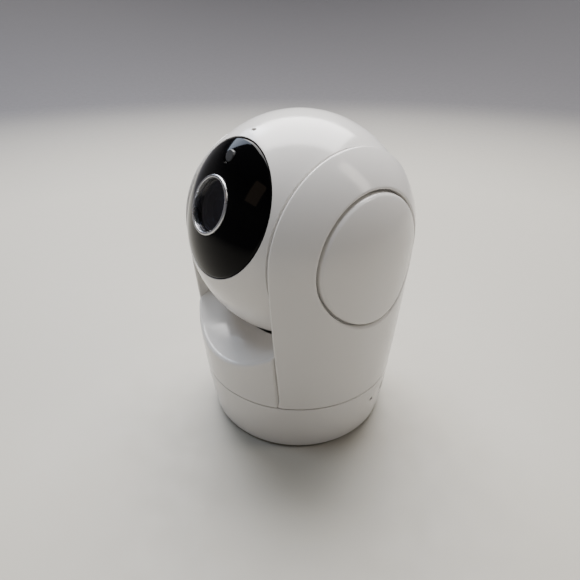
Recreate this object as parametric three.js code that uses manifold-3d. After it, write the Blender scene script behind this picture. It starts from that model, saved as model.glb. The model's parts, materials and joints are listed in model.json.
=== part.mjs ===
// A pan-and-tilt baby monitor camera: a fixed round base, a yoke of two arms that turns on it,
// and a ball head that tilts between the arms. Millimetres, +Z up, the lens looks along -Y.
// The origin is the middle of the footprint, on the surface that the camera stands on.
import * as THREE from 'three';
import { mergeVertices } from 'three/addons/utils/BufferGeometryUtils.js';
import Module from 'manifold-3d';

const wasm = await Module();
wasm.setup();

// ---- Driving dimensions ----------------------------------------------------------------------
// Outer form
const BALL_RADIUS = 41.0;
const ARM_PROUD = 1.4; // how far the arms stand outside the ball
const YOKE_TAPER = 3.0; // how much narrower the yoke is at the turning seam than at the tilt axis
const BASE_TAPER = 2.6; // how much narrower the base is at its lower edge than at the seam
const YOKE_SWELL = 1.3; // power of the curve between the seam and the tilt axis
const SEAM_Z = 22.7; // height of the turning seam
const SEAM_GAP = 0.5; // visible gap between base and yoke
const ROOM_UNDER_BALL = 12.25; // between the yoke's floor and the ball
const HEAD_PITCH_DEG = 23.6; // how far the lens looks up at rest
const WALL = 2.2; // moulded wall of the casings
const CLEARANCE = 0.3; // gap between pieces that touch
const BALL_CLEARANCE = 0.7; // running gap round the ball
const OVERSHOOT = 1.0; // how far a cutting tool runs past the face that it cuts

// Base
const FOOT_HEIGHT = 0.8; // how far the rubber feet stand proud of the base
const FOOT_RADIUS = 3.5;
const FOOT_INSET = 6.8; // from the base's lower edge to a foot's centre
const FOOT_FIRST_ANGLE = 45;
const FOOT_COUNT = 4;
const FOOT_SEAT = 1.2; // how deep a foot sits in the bottom plate
const PLATE_THICK = 2.0; // bottom plate
const BASE_LEDGE = 3.0; // width of the ledges that carry the plate and the deck
const LEDGE_THICK = 1.6;
const DECK_GAP = 0.55; // between the deck and the ring gear above it
const DECK_THICK = 2.0;
const HUB_RADIUS = 7.0;
const HUB_BORE = 4.8;
const HUB_PROUD = 0.95; // how far the hub stands above its retainer
const BASE_SCREW_INSET = 12.8; // from the base's lower edge to a screw's centre
const BASE_SCREW_ANGLES = [60, 180, 300];
const BASE_SCREW_LENGTH = 10.0;
const KEYHOLE_X = 15.0;
const KEYHOLE_Y = -2.0;
const KEYHOLE_HEAD_RADIUS = 4.0;
const KEYHOLE_SLOT_WIDTH = 4.2;
const KEYHOLE_SLOT_LENGTH = 8.0;

// Electrics in the base; angles run from the lens side (-Y) round through +X
const JACK_ANGLE = 116;
const JACK_DECK_GAP = 0.4; // between the jack and the deck above it
const JACK_HOLE_RADIUS = 2.6;
const JACK_WIDTH = 8.0;
const JACK_HEIGHT = 8.0;
const JACK_LENGTH = 11.0;
const JACK_BORE_RADIUS = 2.0;
const JACK_BACK_WALL = 2.2;
const JACK_PIN_RADIUS = 0.7;
const JACK_PIN_DROP = 1.0; // how far the pin ends inside the mouth
const RESET_ANGLE = 100.6;
const RESET_BELOW_DECK = 3.6; // from the deck down to the pinhole's centre
const RESET_HOLE_RADIUS = 0.9;
const RESET_SIZE = 5.0;
const RESET_DEPTH = 4.0;
const RESET_PLUNGER = 1.0; // how far the plunger stands out of the switch
const INLET_SETBACK = 1.0; // how far the jack and the switch sit inside the wall
const BOARD_THICK = 1.6;
const BASE_BOARD_ABOVE = 5.2; // from the bottom plate up to the board
const BASE_BOARD_INNER = 9.5;
const BASE_BOARD_ANGLES = [75, 165];
const PAIR_ANGLE = 150;
const PAIR_CIRCLE = 20.0;
const PAIR_RADIUS = 3.4;
const PAIR_FLANGE = 1.2;
const PAIR_FLANGE_THICK = 1.0;
const PAIR_TRAVEL = 0.8;
const PAIR_RECESS = 0.6; // how far the button sits inside the plate's outer face

// Screws
const SCREW_RADIUS = 1.2;
const SCREW_HEAD_RADIUS = 2.3;
const SCREW_HEAD_THICK = 1.2;
const SCREW_TIP = 1.0; // length of the pointed end
const BOSS_RADIUS = 3.0;
const WEB_WIDTH = 2.0;

// Turning drive
const GEAR_MODULE = 1.5;
const PAN_RING_TEETH = 32;
const PINION_TEETH = 8;
const TOOTH_ABOVE = 0.75; // tooth height outside the pitch circle, in modules
const TOOTH_BELOW = 1.1; // tooth depth inside it, in modules
const TOOTH_TIP_SHARE = 0.24; // width of a tooth's tip as a share of the tooth spacing
const TOOTH_ROOT_SHARE = 0.64; // the same at its root
const PAN_GEAR_THICK = 2.0;
const RING_RIM = 2.0; // rim of the ring gear outside its teeth
const PAN_MOTOR_RADIUS = 10.8;
const PAN_MOTOR_ABOVE = 2.4; // from the bottom plate up to the motor
const MOTOR_SHAFT_RADIUS = 1.5;
const TURNTABLE_THICK = 2.2;
const TURNTABLE_COLLAR = 2.6;
const COLLAR_HEIGHT = 1.2;
const RETAINER_THICK = 1.4;
const RETAINER_WIDTH = 4.0;

// Arms and covers
const ARM_FACE_WALL = 1.8;
const CAP_RADIUS = 21.4; // round cap over the pivot
const CAP_GAP = 0.6; // groove round the cap
const CAP_SHELF = 3.0; // width of the shelf that the cap sits on
const CAP_SHELF_THICK = 1.2;
const CAP_SEAT_SLOT = 5.0; // gaps in the seat, above and below the axis
const ARM_SCREW_Y = 12.0;
const ARM_SCREW_LENGTH = 9.0;
const ARM_BOSS_HEIGHT = 10.0;
const PANEL_GAP = 0.3; // seam between an arm and the front or rear cover

// Scoop of the front cover: an arc from front to back carried on an arc from side to side
const SCOOP_RIM_RISE = 0.2; // from the ball's lowest point up to the rim's lowest point
const SCOOP_ACROSS_RADIUS = 46.0;
const SCOOP_ALONG_RADIUS = 31.0;
const SCOOP_BACK_Y = -24.0; // where the scoop ends under the ball
const SCOOP_REACH = 4.0; // how far the scoop's cutter runs on behind that
const REAR_RIM_DROP = 18.4; // from the tilt axis down to the rear cover's lip
const REAR_COVER_Y = 24.0; // front edge of the rear cover

// Sound and boards in the yoke
const SPEAKER_RADIUS = 10.0;
const SPEAKER_THICK = 6.0;
const SPEAKER_FLOOR_GAP = 1.35;
const SPEAKER_COVER_GAP = 2.4;
const GRILLE_HOLE_RADIUS = 0.8;
const GRILLE_PITCH = 3.2;
const GRILLE_RINGS = 2;
const DRIVER_BOARD_WIDTH = 34.0;
const DRIVER_BOARD_HEIGHT = 8.0;
const DRIVER_BOARD_GAP = 0.8; // from its corners to the cover
const ANTENNA_WIDTH = 8.0;
const ANTENNA_HEIGHT = 20.0;
const ANTENNA_SIDE_GAP = 2.0; // from the speaker
const ANTENNA_COVER_GAP = 1.4;

// Tilting drive
const AXLE_RADIUS = 6.0;
const AXLE_BORE = 3.6;
const AXLE_FLANGE_RADIUS = 9.0;
const AXLE_FLANGE_THICK = 2.0;
const BUSH_WALL = 2.4;
const TILT_GEAR_TEETH = 18;
const TILT_GEAR_THICK = 2.4;
const TILT_MOTOR_RADIUS = 8.0;
const TILT_MOTOR_THICK = 5.6;

// Head; its own frame has z along the lens axis and y up the face
const FACE_SIDE_LAND = 2.2; // from the face plate's edge out to the ball's flat sides
const BALL_SPLIT_Z = -20.0; // joint between the front and rear shells
const FACE_RADIUS = 22.7; // black face plate
const FACE_EDGE_DROP = 0.0; // how far the plate's edge sits inside the ball's surface
const FACE_CURVE_RADIUS = 38.0;
const FACE_THICK = 2.0;
const FACE_SEAT = 3.0;
const LENS_RING_RADIUS = 9.6;
const LENS_RING_WALL = 0.9;
const LENS_RING_LENGTH = 6.2;
const LENS_RING_DROP = 1.4; // from the plate's middle back to the ring's front
const WINDOW_THICK = 1.0;
const WINDOW_DROP = 1.6; // from the ring's front back to the window
const BARREL_RADIUS = 7.8;
const BARREL_BORE = 5.6;
const BARREL_STEP = 2.0; // how much narrower the barrel's bore is behind the lens
const BARREL_LENGTH = 12.2;
const BARREL_WINDOW_GAP = 1.0;
const GLASS_CURVE_RADIUS = 11.0;
const GLASS_DROP = 3.2; // from the barrel's front back to the lens's rear face
const GLASS_EDGE_THICK = 1.2;
const SENSOR_INSET = 6.5; // from the plate's edge to the sensor's centre
const SENSOR_RADIUS = 2.1;
const SENSOR_THICK = 1.4;
const LED_COUNT = 8;
const LED_OUT = 4.6; // from the lens ring's outside to a lamp's centre
const LED_RADIUS = 1.7;
const LED_HEIGHT = 3.4;
const LED_FACE_GAP = 2.5; // between a lamp's top and the plate
const LED_BOARD_INNER_GAP = 1.0;
const LED_BOARD_WIDTH = 8.0;
const MAIN_BOARD_SIZE = 30.0;
const CHIP_SIZE = 9.0;
const CHIP_THICK = 1.4;
const CHIP_GAP = 0.6; // between the barrel and the image sensor
const MIC_ANGLE_DEG = 39.6; // from the lens axis, up the face
const MIC_HOLE_RADIUS = 0.8;
const MIC_RADIUS = 2.0;
const MIC_THICK = 1.6;

// Facets
const ROUND_FINE = 36;
const ROUND = 20;
const ROUND_SMALL = 10;
const ROUND_TINY = 8;
const ARC_STEPS = 4;
const SIDE_STEPS = 4;
const DOME_STEPS = 7;

// ---- Worked-out places -----------------------------------------------------------------------
const DEG = Math.PI / 180;
const SHOULDER_RADIUS = BALL_RADIUS + ARM_PROUD; // outside of the arms, level with the tilt axis
const BASE_TOP_RADIUS = SHOULDER_RADIUS - YOKE_TAPER;
const BASE_FOOT_RADIUS = BASE_TOP_RADIUS - BASE_TAPER;
const BASE_BOTTOM_Z = FOOT_HEIGHT;
const BASE_SHELL_TOP_Z = SEAM_Z - SEAM_GAP / 2;
const YOKE_BOTTOM_Z = SEAM_Z + SEAM_GAP / 2;
const PLATE_TOP_Z = BASE_BOTTOM_Z + PLATE_THICK;
const PLATE_LEDGE_Z = PLATE_TOP_Z + CLEARANCE;
const PAN_GEAR_Z = YOKE_BOTTOM_Z - PAN_GEAR_THICK;
const DECK_TOP_Z = PAN_GEAR_Z - DECK_GAP;
const DECK_BOTTOM_Z = DECK_TOP_Z - DECK_THICK;
const PAN_MOTOR_Z = PLATE_TOP_Z + PAN_MOTOR_ABOVE;
const JACK_Z = DECK_BOTTOM_Z - JACK_DECK_GAP - JACK_HEIGHT / 2;
const RESET_Z = DECK_BOTTOM_Z - RESET_BELOW_DECK;
const BASE_BOARD_Z = PLATE_TOP_Z + BASE_BOARD_ABOVE;
const TURNTABLE_TOP_Z = YOKE_BOTTOM_Z + TURNTABLE_THICK;
const COLLAR_TOP_Z = TURNTABLE_TOP_Z + COLLAR_HEIGHT;
const HUB_TOP_Z = COLLAR_TOP_Z + CLEARANCE + RETAINER_THICK + HUB_PROUD;
const AXIS_Z = TURNTABLE_TOP_Z + ROOM_UNDER_BALL + BALL_RADIUS; // height of the tilt axis
const SCOOP_RIM_Z = AXIS_Z - BALL_RADIUS + SCOOP_RIM_RISE;
const REAR_RIM_Z = AXIS_Z - REAR_RIM_DROP;
const SPEAKER_Z = TURNTABLE_TOP_Z + SPEAKER_RADIUS + SPEAKER_FLOOR_GAP;
const YOKE_BOARD_Z = TURNTABLE_TOP_Z + 2 * CLEARANCE;
const PAN_CENTRES = (GEAR_MODULE * (PAN_RING_TEETH - PINION_TEETH)) / 2;
const TILT_CENTRES = (GEAR_MODULE * (TILT_GEAR_TEETH + PINION_TEETH)) / 2;
const BALL_FLAT_X = FACE_RADIUS + FACE_SIDE_LAND; // flats on the two sides of the ball
const BALL_SIDE_INNER_X = BALL_FLAT_X - WALL;
const ARM_INNER_X = BALL_FLAT_X + BALL_CLEARANCE; // inner face of each arm
const TILT_GEAR_X = ARM_INNER_X + ARM_FACE_WALL + 3 * CLEARANCE;
const TILT_MOTOR_X = TILT_GEAR_X + TILT_GEAR_THICK + CLEARANCE;
const BUSH_RADIUS = AXLE_RADIUS + CLEARANCE + BUSH_WALL;
const BALL_EDGE_Z = Math.sqrt(BALL_RADIUS ** 2 - FACE_RADIUS ** 2); // ball's surface at the plate's edge
const FACE_CROWN = FACE_CURVE_RADIUS - Math.sqrt(FACE_CURVE_RADIUS ** 2 - FACE_RADIUS ** 2);
const FACE_APEX_Z = BALL_EDGE_Z - FACE_EDGE_DROP + FACE_CROWN;
const LENS_RING_FRONT_Z = FACE_APEX_Z - LENS_RING_DROP;
const WINDOW_FRONT_Z = LENS_RING_FRONT_Z - WINDOW_DROP;
const BARREL_FRONT_Z = WINDOW_FRONT_Z - WINDOW_THICK - BARREL_WINDOW_GAP;
const BARREL_BACK_Z = BARREL_FRONT_Z - BARREL_LENGTH;
const GLASS_EDGE_Z = BARREL_FRONT_Z - GLASS_DROP;
const MAIN_BOARD_Z = BARREL_BACK_Z - CHIP_GAP - CHIP_THICK;
const SENSOR_UP = FACE_RADIUS - SENSOR_INSET;
const LED_CIRCLE = LENS_RING_RADIUS + LED_OUT;
const LED_BOARD_INNER = LENS_RING_RADIUS + LED_BOARD_INNER_GAP;

// Radius of the base's outside at a height.
const baseRadius = (z) => BASE_FOOT_RADIUS + ((BASE_TOP_RADIUS - BASE_FOOT_RADIUS) * z) / SEAM_Z;

// Radius of the yoke's outside at a height: it swells from the seam to the shoulder, then closes
// over as a sphere about the tilt axis.
function yokeRadius(z) {
  if (z > AXIS_Z) {
    return Math.sqrt(Math.max(SHOULDER_RADIUS ** 2 - (z - AXIS_Z) ** 2, 0));
  }
  const below = (AXIS_Z - z) / (AXIS_Z - SEAM_Z);
  return SHOULDER_RADIUS - (SHOULDER_RADIUS - BASE_TOP_RADIUS) * below ** YOKE_SWELL;
}

// How far out in y the inside of the yoke's wall is, at a height and a distance to the side.
const insideY = (z, x) => Math.sqrt((yokeRadius(z) - WALL) ** 2 - x ** 2);

// Height of the face plate's outside above the ball's centre, at a distance from the lens axis.
const faceZ = (radius) => FACE_APEX_Z - FACE_CURVE_RADIUS + Math.sqrt(FACE_CURVE_RADIUS ** 2 - radius ** 2);

// Unit direction in plan for an angle counted from the lens side (-Y) through +X.
const planDirection = (degrees) => [Math.sin(degrees * DEG), -Math.cos(degrees * DEG)];

// ---- Materials -------------------------------------------------------------------------------
const finish = (color, roughness, metalness = 0) =>
  new THREE.MeshStandardMaterial({ color, roughness, metalness });
const MATERIAL = {
  whiteAbs: finish(0xe9e8e4, 0.22),
  greyAbs: finish(0x8d8f92, 0.5),
  blackGloss: finish(0x08090b, 0.06),
  blackPlastic: finish(0x151618, 0.45),
  chrome: finish(0xc9ccd0, 0.18, 1),
  steel: finish(0x9da1a6, 0.32, 1),
  glass: finish(0x10141c, 0.03),
  rubber: finish(0x3a3b3d, 0.85),
  acetal: finish(0xf1efe6, 0.45),
  board: finish(0x1d5a36, 0.55),
  led: finish(0x2b2030, 0.12),
  coneBlack: finish(0x1b1b1c, 0.9),
};

// ---- Shape helpers ---------------------------------------------------------------------------
// A closed geometry's signed volume: negative when its faces point inwards.
function signedVolume(geometry) {
  const { position } = geometry.attributes;
  const { index } = geometry;
  const corner = [new THREE.Vector3(), new THREE.Vector3(), new THREE.Vector3()];
  let total = 0;
  for (let i = 0; i < index.count; i += 3) {
    corner.forEach((point, k) => point.fromBufferAttribute(position, index.getX(i + k)));
    total += corner[0].dot(corner[1].cross(corner[2]));
  }
  return total / 6;
}

// Turns a closed three.js geometry into a manifold solid with its faces pointing out.
function solid(geometry) {
  const bare = new THREE.BufferGeometry();
  bare.setAttribute('position', geometry.attributes.position.clone());
  bare.setIndex(geometry.index ? geometry.index.clone() : null);
  const merged = mergeVertices(bare, 1e-4);
  const triVerts = new Uint32Array(merged.index.array);
  if (signedVolume(merged) < 0) {
    for (let i = 0; i < triVerts.length; i += 3) {
      [triVerts[i + 1], triVerts[i + 2]] = [triVerts[i + 2], triVerts[i + 1]];
    }
  }
  const vertProperties = new Float32Array(merged.attributes.position.array);
  return new wasm.Manifold(new wasm.Mesh({ numProp: 3, vertProperties, triVerts }));
}

// Turns a manifold solid back into a geometry.
function geometryOf(shape) {
  const mesh = shape.getMesh();
  const geometry = new THREE.BufferGeometry();
  const points = new Float32Array(mesh.vertProperties);
  geometry.setAttribute('position', new THREE.BufferAttribute(points, 3));
  geometry.setIndex(new THREE.BufferAttribute(new Uint32Array(mesh.triVerts), 1));
  geometry.computeVertexNormals();
  return geometry;
}

// A solid of revolution about Z from [radius, z] points that start and end on the axis, or close.
function turned(points, segments = ROUND) {
  const profile = points.map(([radius, z]) => new THREE.Vector2(radius, z));
  return solid(new THREE.LatheGeometry(profile, segments).rotateX(Math.PI / 2));
}

// A cylinder or tube along Z between two heights.
function tube(radius, z0, z1, bore = 0, segments = ROUND) {
  if (bore > 0) {
    return turned([[bore, z0], [radius, z0], [radius, z1], [bore, z1], [bore, z0]], segments);
  }
  return turned([[0, z0], [radius, z0], [radius, z1], [0, z1]], segments);
}

// The same along X, between two places on that axis.
const tubeX = (radius, x0, x1, bore = 0, segments = ROUND) =>
  tube(radius, x0, x1, bore, segments).rotate([0, 90, 0]);

// A box between two corners.
function block(low, high) {
  const size = high.map((value, i) => value - low[i]);
  const middle = high.map((value, i) => (value + low[i]) / 2);
  return solid(new THREE.BoxGeometry(...size).translate(...middle));
}

// A prism of a flat outline, from z0 up to z1.
function prism(shape, z0, z1, curveSegments = ARC_STEPS) {
  const options = { depth: z1 - z0, bevelEnabled: false, curveSegments };
  return solid(new THREE.ExtrudeGeometry(shape, options).translate(0, 0, z0));
}

// A sphere about the origin with flats on its two sides, revolved about X.
function flattedBall(radius, flatX, segments = ROUND_FINE) {
  const end = Math.asin(Math.min(flatX / radius, 1));
  const points = [[0, -flatX]];
  for (let i = 0; i <= 2 * ARC_STEPS; i++) {
    const angle = -end + (i * end) / ARC_STEPS;
    points.push([radius * Math.cos(angle), radius * Math.sin(angle)]);
  }
  points.push([0, flatX]);
  return turned(points, segments).rotate([0, 90, 0]);
}

// The yoke's outer form, set inwards by an amount, from z0 up.
function yokeForm(inset, z0) {
  const points = [[0, z0]];
  for (let i = 0; i < SIDE_STEPS; i++) {
    const z = z0 + ((AXIS_Z - z0) * i) / SIDE_STEPS;
    points.push([yokeRadius(z) - inset, z]);
  }
  for (let i = 0; i < DOME_STEPS; i++) {
    const angle = (i * Math.PI) / 2 / DOME_STEPS;
    const radius = SHOULDER_RADIUS - inset;
    points.push([radius * Math.cos(angle), AXIS_Z + radius * Math.sin(angle)]);
  }
  points.push([0, AXIS_Z + SHOULDER_RADIUS - inset]);
  return turned(points, ROUND_FINE);
}

// The yoke's wall: a skin of the outer form, between two depths.
const yokeSkin = (from, to) => yokeForm(from, YOKE_BOTTOM_Z).subtract(yokeForm(to, 0));

// Room that the ball needs to turn in between the arms.
const ballRoom = () =>
  flattedBall(BALL_RADIUS + BALL_CLEARANCE, ARM_INNER_X).translate([0, 0, AXIS_Z]);

// A round cutter along Z that runs past the faces at both heights.
const bore = (radius, z0, z1, segments = ROUND_SMALL) =>
  tube(radius, z0 - OVERSHOOT, z1 + OVERSHOOT, 0, segments);

// A spur gear's outline. An internal gear has its teeth pointing inwards.
function gearOutline(teeth, internal = false) {
  const pitchRadius = (GEAR_MODULE * teeth) / 2;
  const sign = internal ? -1 : 1;
  const tip = pitchRadius + sign * TOOTH_ABOVE * GEAR_MODULE;
  const root = pitchRadius - sign * TOOTH_BELOW * GEAR_MODULE;
  const [tipHalf, rootHalf] = [TOOTH_TIP_SHARE / 2, TOOTH_ROOT_SHARE / 2];
  const points = [];
  for (let i = 0; i < teeth; i++) {
    const middle = (i * 2 * Math.PI) / teeth;
    const step = (2 * Math.PI) / teeth;
    const flank = [[root, -rootHalf], [tip, -tipHalf], [tip, tipHalf], [root, rootHalf]];
    for (const [radius, share] of flank) {
      const angle = middle + share * step;
      points.push(new THREE.Vector2(radius * Math.cos(angle), radius * Math.sin(angle)));
    }
  }
  return points;
}

// A mesh under its node's name, at a place in its group.
function piece(name, shape, material, place = [0, 0, 0]) {
  const mesh = new THREE.Mesh(geometryOf(shape), material);
  mesh.name = name;
  mesh.position.set(...place);
  return mesh;
}

// ---- Base ------------------------------------------------------------------------------------
const onCircle = (radius, angle) => planDirection(angle).map((value) => radius * value);
const footPlaces = () =>
  Array.from({ length: FOOT_COUNT }, (_, i) =>
    onCircle(BASE_FOOT_RADIUS - FOOT_INSET, FOOT_FIRST_ANGLE + (i * 360) / FOOT_COUNT));
const baseScrewPlaces = () =>
  BASE_SCREW_ANGLES.map((angle) => onCircle(BASE_FOOT_RADIUS - BASE_SCREW_INSET, angle));
const pairPlace = () => onCircle(PAIR_CIRCLE, PAIR_ANGLE);

// Side wall of the base with two inner ledges, the jack's hole and the reset pinhole.
function baseShell() {
  const z0 = BASE_BOTTOM_Z;
  const z1 = BASE_SHELL_TOP_Z;
  const plateLedge = [PLATE_LEDGE_Z, PLATE_LEDGE_Z + LEDGE_THICK];
  const deckLedge = [DECK_BOTTOM_Z - CLEARANCE - LEDGE_THICK, DECK_BOTTOM_Z - CLEARANCE];
  const inside = (z) => baseRadius(z) - WALL;
  const profile = [[inside(z0), z0], [baseRadius(z0), z0], [baseRadius(z1), z1], [inside(z1), z1]];
  for (const [low, high] of [deckLedge, plateLedge]) {
    profile.push([inside(high), high], [inside(high) - BASE_LEDGE, high]);
    profile.push([inside(low) - BASE_LEDGE, low], [inside(low), low]);
  }
  profile.push([inside(z0), z0]);
  const jackHole = radialBore(JACK_ANGLE, JACK_Z, JACK_HOLE_RADIUS, ROUND_SMALL);
  const resetHole = radialBore(RESET_ANGLE, RESET_Z, RESET_HOLE_RADIUS, ROUND_TINY);
  const room = jackBlock(CLEARANCE).add(resetBlock(CLEARANCE));
  return turned(profile, ROUND_FINE).subtract(room).subtract(jackHole).subtract(resetHole);
}

// A bore that runs outwards through the base's wall at an angle and a height.
function radialBore(angle, z, radius, segments) {
  const through = tubeX(radius, BASE_FOOT_RADIUS - 3 * WALL, BASE_TOP_RADIUS + WALL, 0, segments);
  return through.rotate([0, 0, angle - 90]).translate([0, 0, z]);
}

// A keyhole for hanging on a screw: a round head hole with a narrower slot above it.
function keyhole(x) {
  const [z0, z1] = [BASE_BOTTOM_Z - OVERSHOOT, PLATE_TOP_Z + OVERSHOOT];
  const head = tube(KEYHOLE_HEAD_RADIUS, z0, z1, 0, ROUND_SMALL).translate([x, KEYHOLE_Y, 0]);
  const half = KEYHOLE_SLOT_WIDTH / 2;
  const slot = block([x - half, KEYHOLE_Y, z0], [x + half, KEYHOLE_Y + KEYHOLE_SLOT_LENGTH, z1]);
  return head.add(slot);
}

// Bottom plate with seats for the feet, sunk screw holes, two keyholes and the pair button's hole.
function basePlate() {
  const radius = baseRadius(BASE_BOTTOM_Z) - WALL - CLEARANCE;
  let plate = tube(radius, BASE_BOTTOM_Z, PLATE_TOP_Z, 0, ROUND_FINE);
  const seatTop = BASE_BOTTOM_Z + FOOT_SEAT;
  const seat = tube(FOOT_RADIUS + CLEARANCE, BASE_BOTTOM_Z - OVERSHOOT, seatTop, 0, ROUND_SMALL);
  for (const [x, y] of footPlaces()) {
    plate = plate.subtract(seat.translate([x, y, 0]));
  }
  const headTop = BASE_BOTTOM_Z + SCREW_HEAD_THICK + CLEARANCE;
  const sunk = tube(SCREW_HEAD_RADIUS + CLEARANCE, BASE_BOTTOM_Z - OVERSHOOT, headTop, 0, ROUND_SMALL);
  const shank = bore(SCREW_RADIUS + CLEARANCE, BASE_BOTTOM_Z, PLATE_TOP_Z, ROUND_TINY);
  for (const [x, y] of baseScrewPlaces()) {
    plate = plate.subtract(shank.add(sunk).translate([x, y, 0]));
  }
  const pairHole = bore(PAIR_RADIUS + CLEARANCE, BASE_BOTTOM_Z, PLATE_TOP_Z);
  plate = plate.subtract(pairHole.translate([...pairPlace(), 0]));
  return plate.subtract(keyhole(KEYHOLE_X)).subtract(keyhole(-KEYHOLE_X));
}

// Inner deck: it closes the base, carries the hub that the yoke turns on, and holds the motor.
function baseDeck() {
  const radius = baseRadius(DECK_BOTTOM_Z) - WALL - CLEARANCE;
  let deck = tube(radius, DECK_BOTTOM_Z, DECK_TOP_Z, 0, ROUND_FINE);
  deck = deck.add(tube(HUB_RADIUS, DECK_BOTTOM_Z, HUB_TOP_Z));
  deck = deck.subtract(bore(HUB_BORE, DECK_BOTTOM_Z, HUB_TOP_Z, ROUND));
  const shaftHole = bore(MOTOR_SHAFT_RADIUS + 2 * CLEARANCE, DECK_BOTTOM_Z, DECK_TOP_Z);
  deck = deck.subtract(shaftHole.translate([0, -PAN_CENTRES, 0]));
  const bossFoot = PLATE_TOP_Z + CLEARANCE;
  const boss = tube(BOSS_RADIUS, bossFoot, DECK_BOTTOM_Z + OVERSHOOT, 0, ROUND_SMALL);
  const thread = tube(SCREW_RADIUS + CLEARANCE, bossFoot - OVERSHOOT, DECK_BOTTOM_Z, 0, ROUND_TINY);
  for (const [x, y] of baseScrewPlaces()) {
    deck = deck.add(boss.translate([x, y, 0])).subtract(thread.translate([x, y, 0]));
  }
  return deck;
}

// A pan-head screw that points up, with its head's lower face at z = 0.
function screw(length) {
  const points = [[0, 0], [SCREW_HEAD_RADIUS, 0], [SCREW_HEAD_RADIUS, SCREW_HEAD_THICK]];
  points.push([SCREW_RADIUS, SCREW_HEAD_THICK]);
  points.push([SCREW_RADIUS, SCREW_HEAD_THICK + length - SCREW_TIP]);
  points.push([0, SCREW_HEAD_THICK + length]);
  return turned(points, ROUND_SMALL);
}

// Part of a flat ring of board between two angles, inside the jack and the reset switch.
function baseBoard() {
  const [from, to] = BASE_BOARD_ANGLES.map((angle) => (angle - 90) * DEG);
  const outer = jackMouth() - JACK_LENGTH - CLEARANCE;
  const outline = new THREE.Shape();
  outline.absarc(0, 0, outer, from, to, false);
  outline.absarc(0, 0, BASE_BOARD_INNER, to, from, true);
  return prism(outline, BASE_BOARD_Z, BASE_BOARD_Z + BOARD_THICK, ROUND_SMALL);
}

// Distance from the axis of the faces of the jack and the reset switch, just inside the wall.
const jackMouth = () => baseRadius(JACK_Z - JACK_HEIGHT / 2) - WALL - CLEARANCE - INLET_SETBACK;
const resetFace = () => baseRadius(RESET_Z - RESET_SIZE / 2) - WALL - CLEARANCE - INLET_SETBACK;
const turnToJack = (shape) => shape.rotate([0, 0, JACK_ANGLE - 90]).translate([0, 0, JACK_Z]);
const turnToReset = (shape) => shape.rotate([0, 0, RESET_ANGLE - 90]).translate([0, 0, RESET_Z]);

// The jack's outline as a block, grown by an amount for the notch that clears it.
function jackBlock(grow) {
  const half = JACK_WIDTH / 2 + grow;
  const high = JACK_HEIGHT / 2 + grow;
  const inner = jackMouth() - JACK_LENGTH - grow;
  return turnToJack(block([inner, -half, -high], [jackMouth() + grow, half, high]));
}

// The same for the reset switch's body, which its plunger stands out from.
function resetBlock(grow) {
  const half = RESET_SIZE / 2 + grow;
  const inner = resetFace() - RESET_DEPTH - grow;
  return turnToReset(block([inner, -half, -half], [resetFace() - RESET_PLUNGER + grow, half, half]));
}

// Round power socket: a box with a blind bore and a centre pin, its mouth facing outwards.
function powerJack() {
  const back = jackMouth() - JACK_LENGTH + JACK_BACK_WALL;
  const socket = tubeX(JACK_BORE_RADIUS, back, jackMouth() + OVERSHOOT, 0, ROUND_SMALL);
  const pin = tubeX(JACK_PIN_RADIUS, back - OVERSHOOT, jackMouth() - JACK_PIN_DROP, 0, ROUND_TINY);
  return jackBlock(0).subtract(turnToJack(socket)).add(turnToJack(pin));
}

// Push switch behind the reset pinhole: a square body with a short round plunger.
function resetSwitch() {
  const plunger = tubeX(RESET_SIZE / 4, resetFace() - RESET_DEPTH / 2, resetFace(), 0, ROUND_SMALL);
  return resetBlock(0).add(turnToReset(plunger));
}

// Geared stepper motor that stands under the deck, with its shaft pointing up.
function panMotor() {
  const top = DECK_BOTTOM_Z - CLEARANCE;
  const shaftTop = PAN_GEAR_Z + PAN_GEAR_THICK - CLEARANCE;
  const shaft = tube(MOTOR_SHAFT_RADIUS, top - OVERSHOOT, shaftTop, 0, ROUND_SMALL);
  return tube(PAN_MOTOR_RADIUS, PAN_MOTOR_Z, top).add(shaft).translate([0, -PAN_CENTRES, 0]);
}

// A pinion with a bore for a motor's shaft, standing on z = 0.
function pinion(thickness) {
  const gear = prism(new THREE.Shape(gearOutline(PINION_TEETH)), 0, thickness);
  return gear.subtract(bore(MOTOR_SHAFT_RADIUS + CLEARANCE, 0, thickness));
}

// Pair button: a cap with a flange inside the plate and a stem up to the switch on the board.
function pairButton() {
  const face = BASE_BOTTOM_Z + PAIR_RECESS;
  const flange = PLATE_TOP_Z + CLEARANCE;
  const flangeTop = flange + PAIR_FLANGE_THICK;
  const top = BASE_BOARD_Z - 2 * CLEARANCE - PAIR_TRAVEL;
  const points = [[0, face], [PAIR_RADIUS, face], [PAIR_RADIUS, flange]];
  points.push([PAIR_RADIUS + PAIR_FLANGE, flange], [PAIR_RADIUS + PAIR_FLANGE, flangeTop]);
  points.push([PAIR_RADIUS / 2, flangeTop], [PAIR_RADIUS / 2, top], [0, top]);
  return turned(points, ROUND_SMALL);
}

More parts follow.
